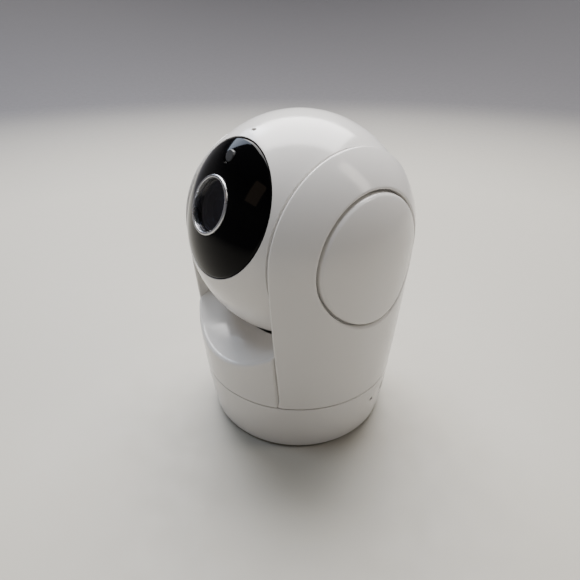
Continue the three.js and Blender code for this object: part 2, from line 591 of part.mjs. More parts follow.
function makeBase() {
  const group = new THREE.Group();
  group.add(piece('base_shell', baseShell(), MATERIAL.whiteAbs));
  group.add(piece('base_plate', basePlate(), MATERIAL.whiteAbs));
  group.add(piece('base_deck', baseDeck(), MATERIAL.greyAbs));
  const footTop = BASE_BOTTOM_Z + FOOT_SEAT - CLEARANCE;
  footPlaces().forEach(([x, y], i) => {
    const foot = tube(FOOT_RADIUS, 0, footTop, 0, ROUND_SMALL);
    group.add(piece(`foot_pad_${i + 1}`, foot, MATERIAL.rubber, [x, y, 0]));
  });
  const screwFoot = BASE_BOTTOM_Z + CLEARANCE / 2;
  baseScrewPlaces().forEach(([x, y], i) => {
    const part = screw(BASE_SCREW_LENGTH);
    group.add(piece(`base_screw_${i + 1}`, part, MATERIAL.steel, [x, y, screwFoot]));
  });
  group.add(piece('base_board', baseBoard(), MATERIAL.board));
  group.add(piece('power_jack', powerJack(), MATERIAL.blackPlastic));
  group.add(piece('reset_switch', resetSwitch(), MATERIAL.blackPlastic));
  group.add(piece('pan_motor', panMotor(), MATERIAL.steel));
  const retainerBore = HUB_RADIUS + CLEARANCE;
  const retainer = tube(retainerBore + RETAINER_WIDTH, 0, RETAINER_THICK, retainerBore);
  group.add(piece('pan_retainer', retainer, MATERIAL.steel, [0, 0, COLLAR_TOP_Z + CLEARANCE]));
  const panGear = pinion(PAN_GEAR_THICK - 2 * CLEARANCE);
  const panPinion = piece('pan_pinion', panGear, MATERIAL.acetal, [0, -PAN_CENTRES, PAN_GEAR_Z + CLEARANCE]);
  panPinion.rotation.z = -Math.PI / 2;
  group.add(panPinion);
  group.add(piece('pair_button', pairButton(), MATERIAL.greyAbs, [...pairPlace(), 0]));
  return group;
}

// ---- Yoke ------------------------------------------------------------------------------------
// Across the arms, the screws stand midway between the inner face and the outer wall.
const armScrewX = () => (ARM_INNER_X + ARM_FACE_WALL + insideY(YOKE_BOTTOM_Z, ARM_SCREW_Y)) / 2;
const armScrewPlaces = () =>
  [1, -1].flatMap((side) => [1, -1].map((end) => [side * armScrewX(), end * ARM_SCREW_Y]));

// Turntable: the yoke's floor, with a collar round the hub and the internal ring gear below.
function turntable() {
  const radius = yokeRadius(YOKE_BOTTOM_Z) - WALL - CLEARANCE;
  const rootRadius = GEAR_MODULE * (PAN_RING_TEETH / 2 + TOOTH_BELOW);
  const ring = new THREE.Shape();
  ring.absarc(0, 0, rootRadius + RING_RIM, 0, 2 * Math.PI, false);
  ring.holes.push(new THREE.Path(gearOutline(PAN_RING_TEETH, true).reverse()));
  // a gap between two ring teeth faces the pinion, which stands at -Y
  const phase = -90 + 180 / PAN_RING_TEETH;
  const gear = prism(ring, PAN_GEAR_Z, YOKE_BOTTOM_Z + CLEARANCE, ROUND_FINE).rotate([0, 0, phase]);
  let table = tube(radius, YOKE_BOTTOM_Z, TURNTABLE_TOP_Z, 0, ROUND_FINE).add(gear);
  table = table.add(tube(HUB_RADIUS + CLEARANCE + TURNTABLE_COLLAR, YOKE_BOTTOM_Z, COLLAR_TOP_Z));
  table = table.subtract(bore(HUB_RADIUS + CLEARANCE, YOKE_BOTTOM_Z, COLLAR_TOP_Z, ROUND));
  const hole = bore(SCREW_RADIUS + CLEARANCE, YOKE_BOTTOM_Z, TURNTABLE_TOP_Z, ROUND_TINY);
  const headRoom = tube(SCREW_HEAD_RADIUS + CLEARANCE, 0, YOKE_BOTTOM_Z, 0, ROUND_SMALL);
  for (const [x, y] of armScrewPlaces()) {
    table = table.subtract(hole.add(headRoom).translate([x, y, 0]));
  }
  return table;
}

// One arm on the +X side: an outer shell and an inner face in one moulding, open below, with the
// cap's seat on the outside, the bush's bore inside and two screw bosses at its foot.
function armShell() {
  const far = 2 * SHOULDER_RADIUS;
  const beyond = (x) => block([x, -far, 0], [far, far, AXIS_Z + far]);
  const onAxis = (shape) => shape.translate([0, 0, AXIS_Z]);
  const capHole = onAxis(tubeX(CAP_RADIUS + CAP_GAP, ARM_INNER_X + ARM_FACE_WALL + WALL, far));
  let arm = yokeForm(0, YOKE_BOTTOM_Z).intersect(beyond(ARM_INNER_X));
  arm = arm.subtract(yokeForm(WALL, 0).intersect(beyond(ARM_INNER_X + ARM_FACE_WALL)));
  arm = arm.subtract(capHole).add(capSeat().subtract(tiltMotorCan(CLEARANCE)));
  arm = arm.subtract(onAxis(tubeX(BUSH_RADIUS + CLEARANCE, 0, ARM_INNER_X + 2 * ARM_FACE_WALL)));
  const foot = TURNTABLE_TOP_Z + CLEARANCE;
  const top = foot + ARM_BOSS_HEIGHT;
  const x = armScrewX();
  for (const y of [ARM_SCREW_Y, -ARM_SCREW_Y]) {
    const boss = tube(BOSS_RADIUS, foot, top, 0, ROUND_SMALL).translate([x, y, 0]);
    const web = block([ARM_INNER_X + OVERSHOOT, y - WEB_WIDTH / 2, foot], [x, y + WEB_WIDTH / 2, top]);
    const thread = tube(SCREW_RADIUS + CLEARANCE, YOKE_BOTTOM_Z, top - OVERSHOOT, 0, ROUND_TINY);
    arm = arm.add(boss).add(web).subtract(thread.translate([x, y, 0]));
  }
  // the inner face stops above the turntable, which runs under it
  return arm.subtract(tube(yokeRadius(YOKE_BOTTOM_Z) - WALL, 0, foot, 0, ROUND_FINE));
}

// Seat for the cap: a shelf under its edge, joined to the arm's wall by a ring outside its groove.
function capSeat() {
  const hole = CAP_RADIUS + CAP_GAP;
  const under = WALL + CLEARANCE;
  // the seat runs on into the arm's edge where less than a wall's width would be left beside it
  const room = Math.sqrt((SHOULDER_RADIUS - WALL) ** 2 - (ARM_INNER_X + ARM_FACE_WALL) ** 2);
  const outside = room - hole - CAP_SHELF < WALL ? SHOULDER_RADIUS : hole + CAP_SHELF;
  const shelfTube = tubeX(outside, ARM_INNER_X, 2 * SHOULDER_RADIUS, hole - CAP_SHELF);
  const ringTube = tubeX(outside, ARM_INNER_X, 2 * SHOULDER_RADIUS, hole);
  const shelf = yokeSkin(under, under + CAP_SHELF_THICK).intersect(shelfTube.translate([0, 0, AXIS_Z]));
  const ring = yokeSkin(WALL / 2, under + CAP_SHELF_THICK).intersect(ringTube.translate([0, 0, AXIS_Z]));
  const half = CAP_SEAT_SLOT / 2;
  const slots = block([0, -half, 0], [2 * SHOULDER_RADIUS, half, 2 * AXIS_Z]);
  return shelf.add(ring).subtract(slots);
}

// Round cap over the pivot: a disc cut from the arm's own outer skin.
function pivotCap() {
  const disc = tubeX(CAP_RADIUS, ARM_INNER_X, 2 * SHOULDER_RADIUS).translate([0, 0, AXIS_Z]);
  return yokeSkin(0, WALL).intersect(disc);
}

// The space above the scoop's surface, lowered by an amount. It is turned about an axis along Y.
function scoopRoom(lower) {
  const front = -(SHOULDER_RADIUS + WALL);
  const back = SCOOP_BACK_Y + SCOOP_REACH;
  const rimY = -yokeRadius(SCOOP_RIM_Z);
  const points = [[0, front]];
  for (let i = 0; i <= ARC_STEPS; i++) {
    const y = front + ((back - front) * i) / ARC_STEPS;
    const rise = SCOOP_ALONG_RADIUS - Math.sqrt(SCOOP_ALONG_RADIUS ** 2 - (y - rimY) ** 2);
    points.push([SCOOP_ACROSS_RADIUS - rise + lower, y]);
  }
  points.push([0, back]);
  const centreZ = SCOOP_RIM_Z + SCOOP_ACROSS_RADIUS;
  return turned(points, ROUND_FINE).rotate([-90, 0, 0]).translate([0, 0, centreZ]);
}

// Front cover: the wall between the arms and the scoop under the ball, in one skin.
function frontCover() {
  const half = ARM_INNER_X - PANEL_GAP;
  const strip = block([-half, -2 * SHOULDER_RADIUS, YOKE_BOTTOM_Z], [half, SCOOP_BACK_Y, AXIS_Z]);
  const outside = yokeForm(0, YOKE_BOTTOM_Z).intersect(strip).subtract(scoopRoom(0));
  const inside = yokeForm(WALL, 0).subtract(scoopRoom(WALL));
  return outside.subtract(inside).subtract(ballRoom());
}

// Rear cover: the wall between the arms behind the ball, with a lip and the speaker's grille.
function rearCover() {
  const half = ARM_INNER_X - PANEL_GAP;
  const far = 2 * SHOULDER_RADIUS;
  const strip = block([-half, REAR_COVER_Y, YOKE_BOTTOM_Z], [half, far, REAR_RIM_Z]);
  const belowLip = block([-far, 0, 0], [far, far, REAR_RIM_Z - WALL]);
  let cover = yokeForm(0, YOKE_BOTTOM_Z).intersect(strip);
  cover = cover.subtract(yokeForm(WALL, 0).intersect(belowLip)).subtract(ballRoom());
  const hole = tube(GRILLE_HOLE_RADIUS, 0, far, 0, ROUND_TINY).rotate([-90, 0, 0]);
  for (const [x, z] of grillePlaces()) {
    cover = cover.subtract(hole.translate([x, 0, z]));
  }
  return cover;
}

// Centres of the grille's holes: a middle one and rings of six, twelve and so on round it.
function grillePlaces() {
  const places = [[0, SPEAKER_Z]];
  for (let ring = 1; ring <= GRILLE_RINGS; ring++) {
    const radius = ring * GRILLE_PITCH;
    for (let i = 0; i < 6 * ring; i++) {
      const angle = (i * 2 * Math.PI) / (6 * ring);
      places.push([radius * Math.cos(angle), SPEAKER_Z + radius * Math.sin(angle)]);
    }
  }
  return places;
}

// Small loudspeaker: a dished cone in a round frame with a magnet behind, firing backwards.
function speaker() {
  const r = SPEAKER_RADIUS;
  const t = SPEAKER_THICK;
  const frontY = insideY(SPEAKER_Z, r) - SPEAKER_COVER_GAP;
  const points = [[0, 0], [0.5 * r, 0], [0.5 * r, 0.4 * t], [0.9 * r, 0.65 * t], [r, 0.65 * t]];
  points.push([r, t], [0.85 * r, t], [0.35 * r, 0.75 * t], [0, 0.85 * t]);
  return turned(points).rotate([-90, 0, 0]).translate([0, frontY - t, SPEAKER_Z]);
}

// Board of the motor drivers, on edge behind the front cover.
function driverBoard() {
  const half = DRIVER_BOARD_WIDTH / 2;
  const y = DRIVER_BOARD_GAP - insideY(YOKE_BOARD_Z, half);
  return block([-half, y, YOKE_BOARD_Z], [half, y + BOARD_THICK, YOKE_BOARD_Z + DRIVER_BOARD_HEIGHT]);
}

// Board of the radio's antenna, on edge beside the speaker.
function antennaBoard() {
  const x = SPEAKER_RADIUS + ANTENNA_SIDE_GAP;
  const y = insideY(YOKE_BOARD_Z, x + ANTENNA_WIDTH) - ANTENNA_COVER_GAP;
  return block([x, y - BOARD_THICK, YOKE_BOARD_Z], [x + ANTENNA_WIDTH, y, YOKE_BOARD_Z + ANTENNA_HEIGHT]);
}

// Can of the tilt motor, lying along X inside the right arm, grown by an amount.
function tiltMotorCan(grow) {
  const end = TILT_MOTOR_X + TILT_MOTOR_THICK + grow;
  const can = tubeX(TILT_MOTOR_RADIUS + grow, TILT_MOTOR_X - grow, end);
  return can.translate([0, 0, AXIS_Z - TILT_CENTRES]);
}

// Pancake stepper motor for the tilt.
function tiltMotor() {
  const shaftEnd = TILT_MOTOR_X + OVERSHOOT;
  const shaft = tubeX(MOTOR_SHAFT_RADIUS, TILT_GEAR_X + CLEARANCE, shaftEnd, 0, ROUND_SMALL);
  return tiltMotorCan(0).add(shaft.translate([0, 0, AXIS_Z - TILT_CENTRES]));
}

// Plain bush in an arm's inner face, on the +X side.
const axleBush = () =>
  tubeX(BUSH_RADIUS, ARM_INNER_X, ARM_INNER_X + ARM_FACE_WALL + CLEARANCE, AXLE_RADIUS + CLEARANCE)
    .translate([0, 0, AXIS_Z]);

function makeYoke() {
  const group = new THREE.Group();
  group.add(piece('turntable', turntable(), MATERIAL.greyAbs));
  const arm = armShell();
  const cap = pivotCap();
  const bush = axleBush();
  const left = (shape) => shape.mirror([1, 0, 0]);
  group.add(piece('arm_right', arm, MATERIAL.whiteAbs));
  group.add(piece('arm_left', left(arm), MATERIAL.whiteAbs));
  group.add(piece('pivot_cap_right', cap, MATERIAL.whiteAbs));
  group.add(piece('pivot_cap_left', left(cap), MATERIAL.whiteAbs));
  group.add(piece('axle_bush_right', bush, MATERIAL.acetal));
  group.add(piece('axle_bush_left', left(bush), MATERIAL.acetal));
  group.add(piece('front_cover', frontCover(), MATERIAL.whiteAbs));
  group.add(piece('rear_cover', rearCover(), MATERIAL.whiteAbs));
  group.add(piece('speaker', speaker(), MATERIAL.coneBlack));
  group.add(piece('tilt_motor', tiltMotor(), MATERIAL.steel));
  group.add(piece('driver_board', driverBoard(), MATERIAL.board));
  group.add(piece('antenna_board', antennaBoard(), MATERIAL.board));
  const screwFoot = YOKE_BOTTOM_Z - SCREW_HEAD_THICK - CLEARANCE;
  armScrewPlaces().forEach(([x, y], i) => {
    group.add(piece(`arm_screw_${i + 1}`, screw(ARM_SCREW_LENGTH), MATERIAL.steel, [x, y, screwFoot]));
  });
  const gearPlace = [TILT_GEAR_X, 0, AXIS_Z - TILT_CENTRES];
  const tiltPinion = piece('tilt_pinion', pinion(TILT_GEAR_THICK), MATERIAL.acetal, gearPlace);
  tiltPinion.rotation.y = Math.PI / 2;
  group.add(tiltPinion);
  return group;
}

// ---- Head ------------------------------------------------------------------------------------
// The ball's hollow casing before it is split.
function headCasing() {
  const outer = flattedBall(BALL_RADIUS, BALL_FLAT_X);
  const axleHole = tubeX(AXLE_RADIUS + CLEARANCE, -BALL_RADIUS, BALL_RADIUS, 0, ROUND);
  return outer.subtract(flattedBall(BALL_RADIUS - WALL, BALL_SIDE_INNER_X)).subtract(axleHole);
}

// Front shell: the opening for the face plate with a seat behind it, and the microphone's hole.
function headFrontShell() {
  const far = 2 * BALL_RADIUS;
  const hole = FACE_RADIUS + CLEARANCE;
  const seatBore = FACE_RADIUS - FACE_SEAT;
  const seatTop = faceZ(FACE_RADIUS) - FACE_THICK - CLEARANCE;
  const seat = tube(hole + OVERSHOOT, seatTop - LEDGE_THICK, seatTop, seatBore);
  let shell = headCasing().intersect(block([-far, -far, BALL_SPLIT_Z], [far, far, far]));
  shell = shell.subtract(tube(seatBore, 0, far)).add(seat).subtract(tube(hole, seatTop, far, 0, ROUND_FINE));
  shell = shell.intersect(flattedBall(BALL_RADIUS, BALL_FLAT_X));
  const micTop = BALL_RADIUS - WALL - CLEARANCE;
  const micBottom = micTop - MIC_THICK - 2 * CLEARANCE;
  const micHole = tube(MIC_HOLE_RADIUS, micBottom, far, 0, ROUND_TINY);
  const micRoom = tube(MIC_RADIUS + CLEARANCE, micBottom, micTop, 0, ROUND_SMALL);
  return shell.subtract(micHole.add(micRoom).rotate([-MIC_ANGLE_DEG, 0, 0]));
}

// Rear shell: the back of the ball.
function headRearShell() {
  const far = 2 * BALL_RADIUS;
  return headCasing().intersect(block([-far, -far, -far], [far, far, BALL_SPLIT_Z - CLEARANCE]));
}

// Black face plate: a shallow dome with a round hole for the lens and a smaller one for the sensor.
function facePlate() {
  const hole = LENS_RING_RADIUS + CLEARANCE;
  const points = [];
  for (let i = 0; i <= ARC_STEPS; i++) {
    const radius = hole + ((FACE_RADIUS - hole) * i) / ARC_STEPS;
    points.push([radius, faceZ(radius)]);
  }
  const under = points.map(([radius, z]) => [radius, z - FACE_THICK]).reverse();
  const plate = turned([...points, ...under, points[0]], ROUND_FINE);
  const sensorHole = tube(SENSOR_RADIUS + CLEARANCE, 0, BALL_RADIUS, 0, ROUND_SMALL);
  return plate.subtract(sensorHole.translate([0, SENSOR_UP, 0]));
}

// Bright ring round the lens.
function lensRing() {
  const back = LENS_RING_FRONT_Z - LENS_RING_LENGTH;
  return tube(LENS_RING_RADIUS, back, LENS_RING_FRONT_Z, LENS_RING_RADIUS - LENS_RING_WALL);
}

// Flat window inside the ring, in front of the lens.
const lensWindow = () =>
  tube(LENS_RING_RADIUS - LENS_RING_WALL - CLEARANCE, WINDOW_FRONT_Z - WINDOW_THICK, WINDOW_FRONT_Z);

// The lens's front element: flat behind and domed in front, with a thin straight edge.
function lensGlass() {
  const radius = BARREL_BORE - CLEARANCE;
  const centre = Math.sqrt(GLASS_CURVE_RADIUS ** 2 - radius ** 2);
  const dome = (r) => Math.sqrt(GLASS_CURVE_RADIUS ** 2 - r ** 2) - centre;
  const front = GLASS_EDGE_Z + GLASS_EDGE_THICK;
  const radii = Array.from({ length: ARC_STEPS + 1 }, (_, i) => radius * (1 - i / ARC_STEPS));
  const domed = radii.map((r) => [r, front + dome(r)]);
  return turned([[0, GLASS_EDGE_Z], [radius, GLASS_EDGE_Z], ...domed]);
}

// Barrel that holds the lens in front of the image sensor.
function lensBarrel() {
  const step = GLASS_EDGE_Z - CLEARANCE;
  const narrow = BARREL_BORE - BARREL_STEP;
  const points = [[narrow, BARREL_BACK_Z], [BARREL_RADIUS, BARREL_BACK_Z]];
  points.push([BARREL_RADIUS, BARREL_FRONT_Z], [BARREL_BORE, BARREL_FRONT_Z]);
  points.push([BARREL_BORE, step], [narrow, step], [narrow, BARREL_BACK_Z]);
  return turned(points);
}

// Window of the light sensor, just inside the face plate's surface.
function lightSensor() {
  const top = faceZ(SENSOR_UP) - CLEARANCE;
  return tube(SENSOR_RADIUS, top - SENSOR_THICK, top, 0, ROUND_SMALL);
}

// Height of the ring board that carries the infra-red lamps behind the face plate.
const ledBoardTop = () =>
  faceZ(LED_CIRCLE + LED_RADIUS) - FACE_THICK - LED_FACE_GAP - LED_HEIGHT - CLEARANCE;
const ledBoard = () =>
  tube(LED_BOARD_INNER + LED_BOARD_WIDTH, ledBoardTop() - BOARD_THICK, ledBoardTop(), LED_BOARD_INNER);

// A round-topped lamp standing on z = 0.
function led() {
  const straight = LED_HEIGHT - LED_RADIUS;
  const points = [[0, 0], [LED_RADIUS, 0]];
  for (let i = 0; i < ARC_STEPS; i++) {
    const angle = (i * Math.PI) / 2 / ARC_STEPS;
    points.push([LED_RADIUS * Math.cos(angle), straight + LED_RADIUS * Math.sin(angle)]);
  }
  points.push([0, LED_HEIGHT]);
  return turned(points, ROUND_SMALL);
}

// Main board with the image sensor's package on it.
function mainBoard() {
  const half = MAIN_BOARD_SIZE / 2;
  const chip = CHIP_SIZE / 2;
  const back = MAIN_BOARD_Z - BOARD_THICK;
  const board = block([-half, -half, back], [half, half, MAIN_BOARD_Z]);
  return board.add(block([-chip, -chip, back], [chip, chip, MAIN_BOARD_Z + CHIP_THICK]));
}

// Stub axle on the +X side: a hollow shaft with a flange inside the ball.
function stubAxle() {
  const flangeX = BALL_SIDE_INNER_X - CLEARANCE;
  const endX = TILT_GEAR_X + TILT_GEAR_THICK + CLEARANCE;
  const shaft = tubeX(AXLE_RADIUS, flangeX - OVERSHOOT, endX);
  const flange = tubeX(AXLE_FLANGE_RADIUS, flangeX - AXLE_FLANGE_THICK, flangeX);
  return shaft.add(flange).subtract(tubeX(AXLE_BORE, 0, endX + OVERSHOOT, 0, ROUND_SMALL));
}

// Gear on the right stub axle, turned so that the pinion's tooth below falls into a gap.
function tiltGear() {
  const outline = new THREE.Shape(gearOutline(TILT_GEAR_TEETH));
  const gear = prism(outline, TILT_GEAR_X, TILT_GEAR_X + TILT_GEAR_THICK);
  const bored = gear.subtract(tube(AXLE_RADIUS + CLEARANCE, 0, 2 * BALL_RADIUS));
  const gapPhase = 180 / TILT_GEAR_TEETH;
  // undo the head's own pitch, then face a gap straight down
  return bored.rotate([0, 0, gapPhase]).rotate([0, 90, 0]).rotate([HEAD_PITCH_DEG - 90, 0, 0]);
}

function makeHead() {
  const group = new THREE.Group();
  group.position.z = AXIS_Z;
  group.rotation.x = (90 - HEAD_PITCH_DEG) * DEG;
  group.add(piece('head_front_shell', headFrontShell(), MATERIAL.whiteAbs));
  group.add(piece('head_rear_shell', headRearShell(), MATERIAL.whiteAbs));
  group.add(piece('face_plate', facePlate(), MATERIAL.blackGloss));
  group.add(piece('lens_ring', lensRing(), MATERIAL.chrome));
  group.add(piece('lens_window', lensWindow(), MATERIAL.glass));
  group.add(piece('lens_barrel', lensBarrel(), MATERIAL.blackPlastic));
  group.add(piece('lens_glass', lensGlass(), MATERIAL.glass));
  group.add(piece('light_sensor', lightSensor(), MATERIAL.glass, [0, SENSOR_UP, 0]));
  group.add(piece('led_board', ledBoard(), MATERIAL.board));
  for (let i = 0; i < LED_COUNT; i++) {
    const angle = ((i + 0.5) * 2 * Math.PI) / LED_COUNT;
    const place = [LED_CIRCLE * Math.cos(angle), LED_CIRCLE * Math.sin(angle), ledBoardTop() + CLEARANCE];
    group.add(piece(`ir_led_${i + 1}`, led(), MATERIAL.led, place));
  }
  group.add(piece('main_board', mainBoard(), MATERIAL.board));
  const capsuleTop = BALL_RADIUS - WALL - 2 * CLEARANCE;
  const capsule = tube(MIC_RADIUS, capsuleTop - MIC_THICK, capsuleTop, 0, ROUND_SMALL);
  group.add(piece('microphone', capsule.rotate([-MIC_ANGLE_DEG, 0, 0]), MATERIAL.steel));
  group.add(piece('tilt_axle_right', stubAxle(), MATERIAL.greyAbs));
  group.add(piece('tilt_axle_left', stubAxle().mirror([1, 0, 0]), MATERIAL.greyAbs));
  group.add(piece('tilt_gear', tiltGear(), MATERIAL.acetal));
  return group;
}

const camera = new THREE.Group();
camera.add(makeBase(), makeYoke(), makeHead());

export default camera;
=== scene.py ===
"""Looks of a pan-and-tilt baby monitor camera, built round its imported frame.

Every shape is worked out in millimetres with numpy and put into a mesh in metres. The frame gives
the places and the main sizes; a class for each sub-assembly holds what the frame doesn't say.
"""
import json
import logging
import math
from dataclasses import dataclass, field
from enum import Enum
from typing import Callable, Iterable, Sequence

import bpy
import numpy as np
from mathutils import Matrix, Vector


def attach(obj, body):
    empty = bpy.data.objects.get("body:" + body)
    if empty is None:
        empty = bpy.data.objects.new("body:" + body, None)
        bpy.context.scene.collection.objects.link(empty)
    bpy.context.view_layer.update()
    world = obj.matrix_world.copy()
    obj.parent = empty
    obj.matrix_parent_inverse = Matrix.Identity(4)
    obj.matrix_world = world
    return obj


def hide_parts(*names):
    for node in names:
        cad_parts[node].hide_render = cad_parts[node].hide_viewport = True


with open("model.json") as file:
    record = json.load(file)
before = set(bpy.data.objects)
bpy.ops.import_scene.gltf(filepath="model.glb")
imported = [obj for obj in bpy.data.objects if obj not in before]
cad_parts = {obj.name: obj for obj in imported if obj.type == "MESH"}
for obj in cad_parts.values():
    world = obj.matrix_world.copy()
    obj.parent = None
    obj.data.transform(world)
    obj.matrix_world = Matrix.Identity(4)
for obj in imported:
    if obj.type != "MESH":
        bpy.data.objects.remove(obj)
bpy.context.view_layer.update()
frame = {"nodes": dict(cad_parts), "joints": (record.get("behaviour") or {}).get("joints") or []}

log = logging.getLogger("camera")

MM = 0.001  # metres in a millimetre
FINE = 256  # steps round a large round piece
MEDIUM = 96  # steps round a small one
COARSE = 32  # steps round a hole or a screw
ARC = 8  # steps round a rounded edge
SHARP_DEG = 32.0  # an edge sharper than this stays crisp
CLEAR = 12.0  # how far a cutter runs on past the mouth of its hole, in millimetres
SMUDGE_MM = 9.0  # size of the patches that handling leaves
TONE_MM = 2.5  # size of the patches of a mottled colour
FILM_IOR = 1.38  # of magnesium fluoride, which optical glass is coated with
HALVINGS = 48  # steps of a search by halving


# ---- Surfaces --------------------------------------------------------------------------------
def grid_quads(rows: int, cols: int, wrap_rows: bool, wrap_cols: bool) -> np.ndarray:
    """Corner numbers of the quads of a grid of points.

    Args:
        rows: points along the first direction.
        cols: points along the second direction.
        wrap_rows: whether the last row joins the first.
        wrap_cols: whether the last column joins the first.

    Returns:
        An array of four corner numbers a quad.
    """
    i = np.arange(rows if wrap_rows else rows - 1)
    j = np.arange(cols if wrap_cols else cols - 1)
    i, j = (part.ravel() for part in np.meshgrid(i, j, indexing="ij"))
    i1, j1 = (i + 1) % rows, (j + 1) % cols
    return np.stack([i * cols + j, i1 * cols + j, i1 * cols + j1, i * cols + j1], axis=1)


def weld(points: np.ndarray, quads: np.ndarray) -> tuple[np.ndarray, np.ndarray, np.ndarray]:
    """Joins points that coincide, so that seams and poles close.

    Args:
        points: places in millimetres.
        quads: four corner numbers a face.

    Returns:
        The distinct points, the faces that kept four corners, and those left with three.
    """
    keys = np.round(points / 2e-5).astype(np.int64)
    _, first, back = np.unique(keys, axis=0, return_index=True, return_inverse=True)
    quads = back.reshape(-1)[quads]
    same = quads == np.roll(quads, -1, axis=1)
    count = same.sum(axis=1)
    whole = quads[count == 0]
    whole = whole[(whole[:, 0] != whole[:, 2]) & (whole[:, 1] != whole[:, 3])]
    three, drop = quads[count == 1], same[count == 1].argmax(axis=1)
    keep = np.array([[1, 2, 3], [0, 2, 3], [0, 1, 3], [0, 1, 2]])[drop]
    return points[first], whole, np.take_along_axis(three, keep, axis=1)


def volume(points: np.ndarray, triangles: np.ndarray) -> float:
    """Signed volume of a closed surface: the sum of a . (b x c) over its triangles, over six."""
    a, b, c = (points[triangles[:, k]] for k in range(3))
    return float(np.einsum("ij,ij->i", a, np.cross(b, c)).sum() / 6)


def finish_mesh(mesh: bpy.types.Mesh) -> None:
    """Shades a mesh smooth and keeps its sharp edges crisp.

    Args:
        mesh: the mesh to shade.
    """
    mesh.polygons.foreach_set("use_smooth", np.ones(len(mesh.polygons), bool))
    mesh.set_sharp_from_angle(angle=math.radians(SHARP_DEG))
    mesh.update()


def make_object(name: str, points: np.ndarray, quads: np.ndarray) -> bpy.types.Object:
    """Makes a closed mesh object with its faces pointing out.

    Args:
        name: the piece's name.
        points: places in millimetres, in the frame.
        quads: four corner numbers a face.

    Returns:
        The new object, which sits at the origin.
    """
    points, whole, three = weld(points, quads)
    triangles = np.concatenate([whole[:, [0, 1, 2]], whole[:, [0, 2, 3]], three])
    if volume(points, triangles) < 0:
        whole, three = whole[:, ::-1], three[:, ::-1]
    mesh = bpy.data.meshes.new(name)
    mesh.vertices.add(len(points))
    mesh.vertices.foreach_set("co", (points * MM).astype(np.float32).ravel())
    corners = np.concatenate([whole.ravel(), three.ravel()]).astype(np.int32)
    mesh.loops.add(len(corners))
    mesh.loops.foreach_set("vertex_index", corners)
    starts = np.arange(len(whole) + len(three))
    starts = np.where(starts < len(whole), starts * 4, len(whole) * 4 + (starts - len(whole)) * 3)
    mesh.polygons.add(len(starts))
    mesh.polygons.foreach_set("loop_start", starts.astype(np.int32))
    mesh.update(calc_edges=True)
    mesh.validate()
    finish_mesh(mesh)
    made = bpy.data.objects.new(name, mesh)
    bpy.context.scene.collection.objects.link(made)
    return made


def rounded(points: Sequence, radii: Sequence[float], closed: bool = True) -> np.ndarray:
    """An outline with its corners rounded: each corner becomes an arc that touches both sides.

    Args:
        points: corners of the outline.
        radii: radius of each corner, 0 to keep it sharp.
        closed: whether the last corner joins the first.

    Returns:
        The rounded outline's points.
    """
    corners = np.asarray(points, float)
    out = []
    for i, radius in enumerate(radii):
        here = corners[i]
        if radius <= 0 or (not closed and i in (0, len(corners) - 1)):
            out.append(here[None])
            continue
        back, on = corners[i - 1] - here, corners[(i + 1) % len(corners)] - here
        limit = 0.49 * min(np.linalg.norm(back), np.linalg.norm(on))
        back, on = back / np.linalg.norm(back), on / np.linalg.norm(on)
        half = math.acos(float(np.clip(back @ on, -1, 1))) / 2
        reach = min(radius / math.tan(half), limit)
        middle = here + (back + on) / np.linalg.norm(back + on) * reach / math.cos(half)
        out.append(arc_between(here + back * reach - middle, here + on * reach - middle) + middle)
    return np.concatenate(out)


def arc_between(start: np.ndarray, end: np.ndarray) -> np.ndarray:
    """An arc about the origin: two vectors mixed by the sines of the angle to each.

    Args:
        start: the first vector.
        end: the last vector, of the same length.

    Returns:
        The arc's points.
    """
    cosine = (start * end).sum() / math.sqrt((start**2).sum() * (end**2).sum())
    turn = math.acos(float(np.clip(cosine, -1, 1)))
    share = np.linspace(0, 1, ARC + 1)[:, None]
    return (np.sin((1 - share) * turn) * start + np.sin(share * turn) * end) / math.sin(turn)


def spread(points: np.ndarray, longest: float) -> np.ndarray:
    """Adds points at equal steps along each side of an outline.

    Args:
        points: the outline.
        longest: length that no step passes.

    Returns:
        The outline with the added points.
    """
    parts = []
    for a, b in zip(points[:-1], points[1:]):
        count = max(1, math.ceil(np.linalg.norm(b - a) / longest))
        parts.append(a + (b - a) * (np.arange(count) / count)[:, None])
    return np.concatenate(parts + [points[-1:]])


@dataclass(frozen=True)
class Placement:
    """A right-handed frame of its own: an origin in millimetres and three unit directions."""

    origin: np.ndarray
    x: np.ndarray
    y: np.ndarray
    z: np.ndarray

    def out(self, points: np.ndarray) -> np.ndarray:
        """Takes points from this frame to the object's frame."""
        return self.origin + points @ np.stack([self.x, self.y, self.z])

    def back(self, points: np.ndarray) -> np.ndarray:
        """Takes points from the object's frame to this one."""
        return (points - self.origin) @ np.stack([self.x, self.y, self.z]).T

    def moved(self, x: float = 0.0, y: float = 0.0, z: float = 0.0) -> "Placement":
        """The same directions from an origin shifted within this frame."""
        return Placement(self.out(np.array([x, y, z])), self.x, self.y, self.z)


def unit(*vector: float) -> np.ndarray:
    """A vector of length one."""
    return np.array(vector, float) / np.linalg.norm(vector)


def upright(x: float = 0.0, y: float = 0.0, z: float = 0.0) -> Placement:
    """A frame with the object's own directions."""
    return Placement(np.array([x, y, z], float), unit(1, 0, 0), unit(0, 1, 0), unit(0, 0, 1))


def facing(direction: np.ndarray, origin: np.ndarray) -> Placement:
    """A frame whose z runs along a direction and whose x stays level.

    Args:
        direction: unit direction of z.
        origin: the frame's origin.

    Returns:
        The frame, with x as up cross z.
    """
    side = np.cross(unit(0, 0, 1), direction)
    side = side / np.linalg.norm(side)
    return Placement(np.asarray(origin, float), side, np.cross(direction, side), direction)


